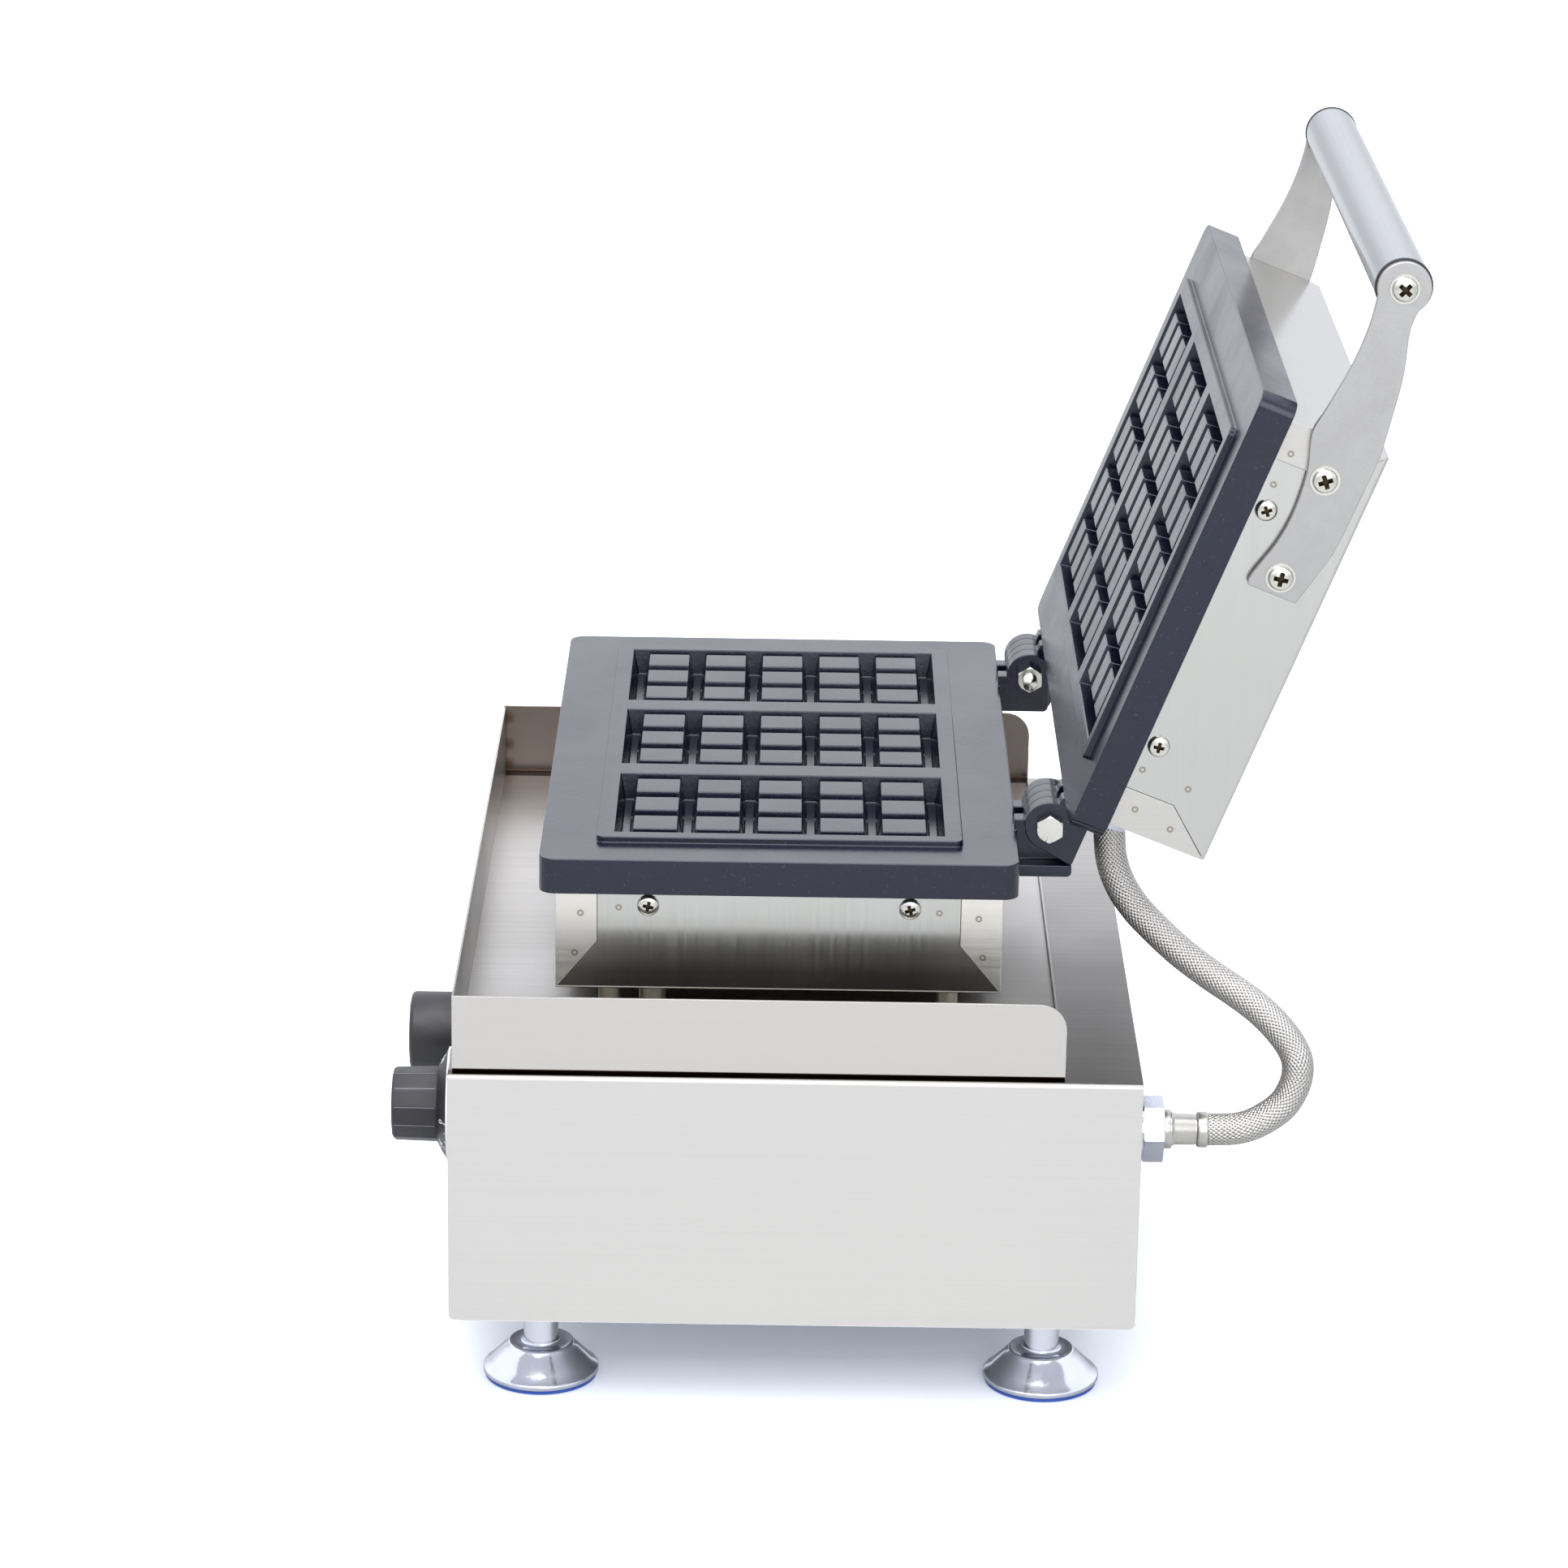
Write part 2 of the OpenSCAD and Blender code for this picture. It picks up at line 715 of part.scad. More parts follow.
// Legs between the tray and the lower heater box, each drawn tight by a bolt
leg_nut_h = 5;
leg_nut_af = 10;
module support_legs()
    placed() color("darkgray")
        for (p = leg_points)
            difference() {
                rod_z(leg_d, deck_z, box_z, p[0], p[1]);
                rod_z(leg_hole_d, deck_z - over, box_z + over, p[0], p[1]);
            }
module leg_bolts()
    placed() color("silver")
        for (p = leg_points) {
            rod_z(leg_bolt_d, top_z - sheet_t, box_z + box_t + leg_nut_h + 1,
                p[0], p[1]);
            hex_z(leg_nut_af, top_z - sheet_t - 4, top_z - sheet_t, p[0], p[1]);
            hex_z(leg_nut_af, box_z + box_t, box_z + box_t + leg_nut_h,
                p[0], p[1]);
        }
module wire_conduit()
    placed() color("darkgray")
        difference() {
            rod_z(conduit_d, top_z - 8, box_z + 6, conduit_x, conduit_y);
            rod_z(conduit_d - 2, top_z - 9, box_z + 7, conduit_x, conduit_y);
        }

// Cast waffle plate, drawn as the lower one: slab, pad, cavities and blocks
floor_z = rim_z - cavity_depth;
cavity_xs = [-cavity_pitch, 0, cavity_pitch];
lean = tan(draft);
lug_w = 14;
lug_x = box_w / 2 - box_t - fit;
lug_z = back_z - lug_drop;
lug_ys = [box_y0 + lug_inset, box_y1 - lug_inset];
lug_screw_d = 5;
clamp_boss_d = 14;
clamp_screw_d = 5;
clamp_points = [
    for (i = [-1, 1], j = [-1, 1])
        [i * element_run / 3, box_mid + j * element_pitch],
    [0, box_mid]
];
element_z = back_z - fit - element_d / 2;
clamp_z = element_z - element_d / 2 - fit;
// Pocket or post whose walls lean by the draft, wide or narrow end at z1
module drafted(w, l, z0, z1) {
    grow = (z1 - z0) * lean;
    intersection() {
        along_y(-l, l)
            polygon([[-w / 2 + grow, z0], [w / 2 - grow, z0],
                [w / 2, z1], [-w / 2, z1]]);
        along_x(-w, w)
            polygon([[-l / 2 + grow, z0], [l / 2 - grow, z0],
                [l / 2, z1], [-l / 2, z1]]);
    }
}
// Rows of leaning bars cross each other, and what they share are the blocks
module bar_section(width, count, pitch) {
    grow = (cavity_depth - block_drop) * lean;
    for (k = [0 : count - 1])
        translate([(k - (count - 1) / 2) * pitch, 0])
            polygon([[-width / 2 - grow, floor_z - over],
                [width / 2 + grow, floor_z - over],
                [width / 2 + grow, floor_z],
                [width / 2, rim_z - block_drop],
                [-width / 2, rim_z - block_drop],
                [-width / 2 - grow, floor_z]]);
}
module blocks()
    intersection() {
        along_x(-cavity_w / 2, cavity_w / 2)
            bar_section(block_l, 5, block_pitch_l);
        along_y(-cavity_l / 2, cavity_l / 2)
            bar_section(block_w, 3, block_pitch_w);
    }
module plate_casting() {
    difference() {
        union() {
            translate([0, plate_mid, back_z])
                linear_extrude(plate_t)
                    round_rect(plate_w, plate_d, plate_r);
            translate([0, plate_mid, back_z + 1])
                linear_extrude(plate_t + pad_h - 1)
                    round_rect(pad_w, pad_d, 4);
            for (s = [-1, 1], y = lug_ys)
                block(min(s * lug_x, s * (lug_x - lug_w)),
                    max(s * lug_x, s * (lug_x - lug_w)),
                    y - lug_w / 2, y + lug_w / 2,
                    lug_z - lug_w / 2, back_z + 1);
            for (p = clamp_points)
                rod_z(clamp_boss_d, clamp_z, back_z + 1, p[0], p[1]);
        }
        for (x = cavity_xs)
            translate([x, plate_mid, 0])
                drafted(cavity_w, cavity_l, floor_z, rim_z);
        for (s = [-1, 1], y = lug_ys)
            rod_x(lug_screw_d + 2 * bore_fit,
                min(s * (lug_x - lug_w - over), s * (lug_x + over)),
                max(s * (lug_x - lug_w - over), s * (lug_x + over)), y, lug_z);
        for (p = clamp_points)
            rod_z(clamp_screw_d + 2 * bore_fit, clamp_z - over, back_z + 5,
                p[0], p[1]);
    }
    for (x = cavity_xs)
        translate([x, plate_mid, 0])
            blocks();
}

// Hinge leaves, cast with the plates, two and two side by side
leaf_step = leaf_t + leaf_gap;
function leaf_x(k) = hinge_out - k * leaf_step;
// Where the heel comes to rest in the open pose, measured from the axis
heel_r = 1.5;
heel_drop = so * (heel_back - heel_r) - co * (heel_rise - heel_r) + heel_r;
stop_z = axis_z - heel_drop - move_gap;
tongue_z = back_z - 2.7;
leaf_bore_d = hinge_bolt_d + 2 * bore_fit;
// Axis disc and the block that joins it to the lower plate's rear edge
module lower_leaf(bottom_z, back) {
    foot_r = 3;
    difference() {
        union() {
            translate([axis_y, axis_z])
                circle(leaf_r);
            translate([plate_rear - over, bottom_z + foot_r])
                square([hinge_back + back + over, axis_z - bottom_z - foot_r]);
            translate([plate_rear - over, bottom_z])
                square([hinge_back + back + over - foot_r, foot_r]);
            translate([axis_y + back - foot_r, bottom_z + foot_r])
                circle(foot_r);
        }
        translate([axis_y, axis_z])
            circle(d = leaf_bore_d);
    }
}
module upper_leaf()
    difference() {
        union() {
            translate([axis_y, axis_z]) {
                circle(leaf_r);
                polygon([[-hinge_back, 0], [leaf_r - 0.1, 0],
                    [heel_back, heel_rise - heel_r],
                    [heel_back - heel_r, heel_rise],
                    [-hinge_back, heel_rise]]);
                translate([heel_back - heel_r, heel_rise - heel_r])
                    circle(heel_r);
            }
            translate([plate_rear - over, axis_z + hinge_rise])
                square([2 * over, heel_rise - hinge_rise - 1]);
        }
        translate([axis_y, axis_z])
            circle(d = leaf_bore_d);
    }
module lower_plate()
    placed() color("#5a5c68") {
        plate_casting();
        for (s = [0, 1])
            mirror([s, 0, 0]) {
                along_x(leaf_x(1) - leaf_t, leaf_x(1))
                    lower_leaf(tongue_z, leaf_r - 0.75);
                along_x(leaf_x(1) - over, leaf_x(0))
                    tongue();
                along_x(leaf_x(3) - leaf_t, leaf_x(3))
                    lower_leaf(tongue_z + 8, leaf_r - 1.75);
            }
    }
// Shelf under the outer leaf, on which its heel rests in the open pose
module tongue() {
    end_r = 2.5;
    translate([plate_rear - over, tongue_z])
        square([hinge_back + over + leaf_r - 0.75 - end_r, stop_z - tongue_z]);
    translate([plate_rear, tongue_z + end_r])
        square([hinge_back + leaf_r - 0.75, stop_z - tongue_z - end_r]);
    translate([axis_y + leaf_r - 0.75 - end_r, tongue_z + end_r])
        circle(end_r);
}
module upper_plate()
    color("#5a5c68") {
        upper_half()
            plate_casting();
        lid()
            for (s = [0, 1], k = [0, 2])
                mirror([s, 0, 0])
                    along_x(leaf_x(k) - leaf_t, leaf_x(k))
                        upper_leaf();
    }

// Hinge bolts run through all four leaves, the head outside and the nut inside
bolt_head_h = 5.5;
bolt_nut_h = 7;
bolt_end = 8;
bolt_af = hinge_bolt_d * 1.625;
module hinge_bolts()
    placed() color("silver")
        for (s = [0, 1])
            mirror([s, 0, 0])
                translate([0, axis_y, axis_z])
                    rotate([0, 90, 0]) {
                        rod_z(hinge_bolt_d, leaf_x(3) - leaf_t - bolt_nut_h
                            - bolt_end, leaf_x(0) + move_gap);
                        hex_z(bolt_af, leaf_x(0) + move_gap,
                            leaf_x(0) + move_gap + bolt_head_h);
                    }
module hinge_nuts()
    placed() color("silver")
        for (s = [0, 1])
            mirror([s, 0, 0])
                translate([0, axis_y, axis_z])
                    rotate([0, 90, 0])
                        difference() {
                            hex_z(bolt_af, leaf_x(3) - leaf_t - bolt_nut_h,
                                leaf_x(3) - leaf_t);
                            rod_z(leaf_bore_d, 0, leaf_x(0));
                        }

// Folded heater box, drawn as the lower one, with tabs lapped on its sides
box_x = box_w / 2;
module box_pan() {
    difference() {
        along_y(box_y0, box_y1)
            mirror([0, 1])
                top_bent(box_x, -back_z, -box_z, box_bend_r);
        block(-box_x + box_t, box_x - box_t, box_y0 + box_t, box_y1 - box_t,
            box_z + box_t, back_z + over);
        for (s = [-1, 1], y = lug_ys)
            rod_x(lug_screw_d + 2 * fit, s * box_x - 3, s * box_x + 3,
                y, lug_z);
    }
    for (s = [-1, 1])
        along_x(min(s * box_x, s * (box_x + box_t)),
            max(s * box_x, s * (box_x + box_t)))
            for (e = [0, 1])
                translate([box_mid, 0])
                    mirror([e, 0])
                        tab_outline();
}
module tab_outline()
    polygon([[-box_d / 2, back_z], [-box_d / 2, box_z + box_bend_r],
        [-box_d / 2 + box_bend_r / 2, box_z + box_bend_r],
        [-box_d / 2 + tab_l, back_z - tab_h], [-box_d / 2 + tab_l, back_z]]);
module box_screws()
    for (s = [-1, 1], y = lug_ys)
        side_screw(s, box_x, y, lug_z, 11.5, 3, lug_screw_d, 14);
module lower_box()
    placed() color("whitesmoke")
        difference() {
            box_pan();
            for (p = leg_points)
                rod_z(leg_hole_d, box_z - over, box_z + box_t + over,
                    p[0], p[1]);
            rod_z(conduit_hole_d, box_z - over, box_z + box_t + over,
                conduit_x, conduit_y);
        }
module upper_box()
    color("whitesmoke")
        difference() {
            upper_half()
                box_pan();
            lid() {
                rod_y(connector_thread_d + 2 * fit, box_y1 - 3, box_y1 + over,
                    connector_x, connector_z);
                for (s = [-1, 1], a = arm_screw_inset)
                    rod_x(arm_screw_d + 2 * fit, s * box_x - 3, s * box_x + 3,
                        box_y0 + a, arm_screw_z);
            }
        }
module lower_box_screws() placed() color("silver") box_screws();
module upper_box_screws() upper_half() color("silver") box_screws();

// Tubular element in even runs, pressed on the plate by the clamp plate
module element() {
    first_y = box_mid - (element_runs - 1) / 2 * element_pitch;
    for (k = [0 : element_runs - 1])
        rod_x(element_d, -element_run / 2, element_run / 2,
            first_y + k * element_pitch, element_z);
    for (k = [0 : element_runs - 2])
        translate([(k % 2 == 0 ? -1 : 1) * element_run / 2,
            first_y + (k + 0.5) * element_pitch, element_z])
            rotate([0, 0, k % 2 == 0 ? 90 : -90])
                rotate_extrude(angle = 180)
                    translate([element_pitch / 2, 0])
                        circle(d = element_d);
    for (k = [0, element_runs - 1]) {
        rod_x(element_d + 0.2, element_run / 2, element_run / 2 + 8,
            first_y + k * element_pitch, element_z);
        rod_x(4, element_run / 2 + 8, element_run / 2 + 18,
            first_y + k * element_pitch, element_z);
    }
}
clamp_w = element_run - 20;
clamp_l = (element_runs - 1) * element_pitch + 10;
module clamp_plate()
    difference() {
        translate([0, box_mid, clamp_z - clamp_t])
            linear_extrude(clamp_t)
                round_rect(clamp_w, clamp_l, 5);
        for (p = clamp_points)
            rod_z(clamp_screw_d + 2 * fit, clamp_z - clamp_t - over,
                clamp_z + over, p[0], p[1]);
    }
clamp_head_h = 3.5;
module clamp_screws()
    for (p = clamp_points) {
        hex_z(8, clamp_z - clamp_t - clamp_head_h, clamp_z - clamp_t,
            p[0], p[1]);
        rod_z(clamp_screw_d, clamp_z - clamp_t, back_z + 4, p[0], p[1]);
    }
// Ceramic-fibre blanket between the box's floor and the clamp screws
blanket_side = 20.8;
blanket_end = 12.5;
blanket_w = 2 * (box_x - box_t - blanket_side);
blanket_l = box_d - 2 * (box_t + blanket_end);
module blanket()
    translate([0, box_mid, box_z + box_t + fit])
        linear_extrude(blanket_t)
            round_rect(blanket_w, blanket_l, 4);
module lower_element() placed() color("dimgray") element();
module upper_element() upper_half() color("dimgray") element();
module lower_clamp_plate() placed() color("silver") clamp_plate();
module upper_clamp_plate() upper_half() color("silver") clamp_plate();
module lower_clamp_screws() placed() color("silver") clamp_screws();
module upper_clamp_screws() upper_half() color("silver") clamp_screws();
module lower_blanket()
    placed() color("ivory")
        difference() {
            blanket();
            for (p = leg_points)
                rod_z(leg_nut_af + 6, box_z, box_z + leg_nut_h + 4, p[0], p[1]);
            rod_z(conduit_d + 4, box_z, box_z + 9, conduit_x, conduit_y);
        }
module upper_blanket() upper_half() color("ivory") blanket();
bulb_d = 6;
bulb_x = 15;
bulb_l = 80;
module thermostat_bulb()
    placed() color("goldenrod")
        rod_x(bulb_d, bulb_x, bulb_x + bulb_l, box_mid,
            back_z - fit - bulb_d / 2);

// Arms and handle, in the closed lid's place
arm_gap = 0.2;
arm_x = box_x + box_t + arm_gap;
arm_l = box_y0 + arm_lap - handle_y;
arm_screw_d = 6;
arm_screw_inset = [21, 75];
arm_screw_z = handle_z + 3.5;
// Edges of an arm: share of its length from the handle's axis, height over it
arm_low_edge = [
    [0, -12.9], [0.07, -10], [0.16, -8], [0.28, -8], [0.42, -10.5],
    [0.5, -12.2], [0.6, -7], [0.68, -4.8], [0.77, -4.1], [0.86, -5.8],
    [0.97, -10.6], [1, -10]
];
arm_top_edge = [
    [1, 16], [0.9, 19.8], [0.8, 23], [0.65, 23.6], [0.5, 23.8],
    [0.38, 21.4], [0.24, 17.6], [0.1, 11], [0, 12]
];
function arm_outline() = [
    for (p = concat(curve(arm_low_edge, 4), curve(arm_top_edge, 4)))
        [handle_y + p[0] * arm_l, handle_z + p[1]]
];
module arm(s)
    lid() color("silver")
        along_x(min(s * arm_x, s * (arm_x + arm_t)),
            max(s * arm_x, s * (arm_x + arm_t)))
            difference() {
                union() {
                    polygon(arm_outline());
                    translate([handle_y, handle_z])
                        circle(arm_end_r);
                }
                translate([handle_y, handle_z])
                    circle(d = arm_screw_d + 2 * fit);
                for (a = arm_screw_inset)
                    translate([box_y0 + a, arm_screw_z])
                        circle(d = arm_screw_d + 2 * fit);
            }
module arm_right() arm(1);
module arm_left() arm(-1);
arm_nut_h = 5;
module arm_screws()
    lid() color("silver")
        for (s = [-1, 1], a = arm_screw_inset)
            side_screw(s, arm_x + arm_t, box_y0 + a, arm_screw_z, 15, 4,
                arm_screw_d, arm_t + arm_gap + 2 * box_t + arm_nut_h + 1);
module arm_nuts()
    lid() color("silver")
        for (s = [-1, 1], a = arm_screw_inset)
            translate([s * (box_x - box_t), box_y0 + a, arm_screw_z])
                rotate([0, -s * 90, 0])
                    difference() {
                        hex_z(10, 0, arm_nut_h);
                        rod_z(arm_screw_d + 2 * bore_fit, -over,
                            arm_nut_h + over);
                    }
// Tube with a black plug in each end, each plug held by a screw through its arm
plug_flange_t = 2;
plug_l = 22;
plug_bore_d = arm_screw_d + 2 * bore_fit;
module handle_tube()
    lid() color("gainsboro")
        difference() {
            rod_x(handle_d, -arm_x + plug_flange_t, arm_x - plug_flange_t,
                handle_y, handle_z);
            rod_x(handle_d - 2 * handle_wall, -arm_x, arm_x,
                handle_y, handle_z);
        }
module handle_plugs()
    lid() color("#26262a")
        for (s = [0, 1])
            mirror([s, 0, 0])
                difference() {
                    union() {
                        rod_x(2 * plug_flange_r, arm_x - plug_flange_t, arm_x,
                            handle_y, handle_z);
                        rod_x(handle_d - 2 * handle_wall - 2 * bore_fit,
                            arm_x - plug_l, arm_x, handle_y, handle_z);
                    }
                    rod_x(plug_bore_d, arm_x - plug_l + 4, arm_x + over,
                        handle_y, handle_z);
                }
module handle_screws()
    lid() color("silver")
        for (s = [-1, 1])
            side_screw(s, arm_x + arm_t, handle_y, handle_z, 15, 4,
                arm_screw_d, arm_t + plug_l - 5);

// Gland in the rear panel, ferrule, and the connector on the upper box
gland_barrel_d = 25;
gland_tail_d = 20;
gland_flange_t = 5;
gland_nut_h = 10.5;
gland_gap = 0.3;
ferrule_y0 = body_d + 20;
ferrule_y1 = body_d + 39;
module hose_gland()
    placed() color("silver")
        translate([gland_x, body_d, gland_z])
            rotate([-90, 0, 0]) {
                rod_z(gland_barrel_d, -12, 0);
                rod_z(gland_af + 3, 0, gland_flange_t);
                rod_z(gland_tail_d, gland_flange_t, 20);
            }
module hose_gland_nut()
    placed() color("silver")
        translate([gland_x, body_d, gland_z])
            rotate([-90, 0, 0])
                difference() {
                    hex_z(gland_af, gland_flange_t + gland_gap,
                        gland_flange_t + gland_gap + gland_nut_h);
                    rod_z(gland_tail_d + 2 * bore_fit, 0, 20);
                }
module hose_ferrule()
    placed() color("silver")
        translate([gland_x, 0, gland_z])
            rotate([-90, 0, 0]) {
                rod_z(hose_d + 0.5, ferrule_y0, ferrule_y1 - 3);
                rod_z(hose_d + 2, ferrule_y0 + 7, ferrule_y0 + 9);
                rod_z(hose_d + 3, ferrule_y1 - 3, ferrule_y1);
            }
connector_thread_d = 14;
connector_z = 2 * part_z - back_z + 11.5;
connector_l = 17;
module lid_connector()
    lid() color("silver")
        translate([connector_x, box_y1, connector_z])
            rotate([-90, 0, 0]) {
                rod_z(connector_thread_d, -12, 0);
                hex_z(18, -box_t - 5, -box_t);
                rod_z(20, 0, 6);
                rod_z(hose_d + 2, 6, connector_l);
            }

// Braided hose: from the ferrule it loops back and up to the lid's connector
hose_route = [
    [173, 405, 131], [171, 417, 135], [169, 428, 143], [167, 434, 154],
    [165, 435, 164], [162, 432, 172], [159, 425, 181], [155, 415, 190],
    [151, 403, 198], [146, 389, 206], [141, 374, 216], [137, 361, 227],
    [134, 350, 238], [132, 342, 250], [130, 337, 264]
];
hose_sides = 12;
hose_tip = opened(box_y1 + connector_l, connector_z);
hose_axis = concat([[gland_x, ferrule_y1, gland_z]], hose_route,
    [[connector_x, hose_tip[0], hose_tip[1]]]);
function unit(v) = v / norm(v);
function hose_heading(i) = i == 0 ? [0, 1, 0]
    : i == len(hose_axis) - 1 ? [0, -co, so]
    : unit(hose_axis[i + 1] - hose_axis[i - 1]);
// Each ring stands square to the hose, its first corner towards the side
function hose_ring(i) = let (t = hose_heading(i),
    n = unit(cross(t, [1, 0, 0])), b = cross(n, t)) [
    for (k = [0 : hose_sides - 1])
        hose_axis[i] + hose_d / 2 * (cos(k * 360 / hose_sides) * n
            + sin(k * 360 / hose_sides) * b)
];
module hose() {
    rings = len(hose_axis);
    last = (rings - 1) * hose_sides;
    placed() color("silver")
        polyhedron(
            points = [for (i = [0 : rings - 1]) each hose_ring(i)],
            faces = concat(
                [[for (k = [0 : hose_sides - 1]) k]],
                [[for (k = [hose_sides - 1 : -1 : 0]) last + k]],
                [for (i = [0 : rings - 2], k = [0 : hose_sides - 1])
                    let (a = i * hose_sides + k,
                        b = i * hose_sides + (k + 1) % hose_sides)
                    each [[a, a + hose_sides, b],
                        [b, a + hose_sides, b + hose_sides]]]));
}

housing();
front_panel();
rear_panel();
base_plate();
base_screws();
foot_bolts();
foot_front_right();
foot_pad_front_right();
foot_front_left();
foot_pad_front_left();
foot_rear_right();
foot_pad_rear_right();
foot_rear_left();
foot_pad_rear_left();
thermostat_knob();
thermostat_shaft();
thermostat_body();
timer_knob();
timer_shaft();
timer_body();
terminal_block();
mains_inlet();
inlet_pins();
spill_tray();
support_legs();
leg_bolts();
wire_conduit();
lower_plate();
lower_box();
lower_box_screws();
lower_element();
lower_clamp_plate();
lower_clamp_screws();
lower_blanket();
thermostat_bulb();
hinge_bolts();
hinge_nuts();
hose_gland();
hose_gland_nut();
hose_ferrule();
hose();
lid_connector();
upper_plate();
upper_box();
upper_box_screws();
upper_element();
upper_clamp_plate();
upper_clamp_screws();
upper_blanket();
arm_right();
arm_left();
arm_screws();
arm_nuts();
handle_tube();
handle_plugs();
handle_screws();
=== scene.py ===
import json
import math

import bpy
import bmesh
import numpy as np
from mathutils import Matrix, Vector
from mathutils.bvhtree import BVHTree

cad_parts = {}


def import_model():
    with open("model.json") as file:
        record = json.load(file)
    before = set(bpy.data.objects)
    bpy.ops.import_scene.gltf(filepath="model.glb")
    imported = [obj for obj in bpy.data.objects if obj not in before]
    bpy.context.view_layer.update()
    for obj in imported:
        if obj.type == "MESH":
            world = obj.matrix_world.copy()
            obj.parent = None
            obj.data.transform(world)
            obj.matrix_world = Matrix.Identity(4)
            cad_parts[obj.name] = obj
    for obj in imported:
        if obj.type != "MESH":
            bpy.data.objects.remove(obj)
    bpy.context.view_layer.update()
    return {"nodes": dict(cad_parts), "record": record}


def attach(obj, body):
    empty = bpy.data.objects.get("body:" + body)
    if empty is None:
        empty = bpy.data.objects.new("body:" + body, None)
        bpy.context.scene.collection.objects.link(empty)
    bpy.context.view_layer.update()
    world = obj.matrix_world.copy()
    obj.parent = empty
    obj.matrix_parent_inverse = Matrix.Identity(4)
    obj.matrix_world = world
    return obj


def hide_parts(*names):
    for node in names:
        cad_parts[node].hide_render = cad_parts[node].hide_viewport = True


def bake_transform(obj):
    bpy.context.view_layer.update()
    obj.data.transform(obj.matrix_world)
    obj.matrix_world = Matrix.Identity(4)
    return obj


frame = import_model()
D = bpy.data
NODES = frame["nodes"]
BODY_FRONT = 0.223236  # the body's front face lies this many metres in front of the origin
PHOTO_PX = 1932  # the photograph's width and height in pixels
THERMOSTAT_X, TIMER_X, KNOB_Z = 159, 56, 132.5  # the knobs' middles in mm


def P(x, y, z):
    """A point given in millimetres, Y from the body's front face, in the row frame."""
    return Vector((x / 1000, y / 1000 - BODY_FRONT, z / 1000))


def camera():
    """The camera fitted to the photograph's edges: angles in radians, focal length in its pixels."""
    yaw, pitch, roll, focal = 0.00009, 0.321724, 0.0147827, 6500.0
    fwd = Vector((-math.cos(yaw) * math.cos(pitch), math.sin(yaw) * math.cos(pitch), -math.sin(pitch)))
    right0 = Vector((math.sin(yaw), math.cos(yaw), 0.0))
    up0 = right0.cross(fwd)
    right = math.cos(roll) * right0 + math.sin(roll) * up0
    up = -math.sin(roll) * right0 + math.cos(roll) * up0
    data = D.cameras.new("camera")
    cam = D.objects.new("camera", data)
    bpy.context.scene.collection.objects.link(cam)
    m = Matrix((right, up, -fwd)).transposed().to_4x4()
    m.translation = P(2710.29, 166.83, 1160.98)
    cam.matrix_world = m
    data.sensor_width = 36.0
    data.lens = data.sensor_width * focal / PHOTO_PX
    data.clip_end = 30
    bpy.context.scene.camera = cam


camera()


# Materials
def lin(r, g, b):
    """The linear colour of 8-bit sRGB values."""
    rgb = [c / 255 / 12.92 if c <= 10 else ((c / 255 + 0.055) / 1.055) ** 2.4 for c in (r, g, b)]
    return tuple(rgb) + (1.0,)


def times(col, f):
    """A colour, made darker or lighter by the factor f."""
    return tuple(x * f for x in col[:3]) + (1.0,)


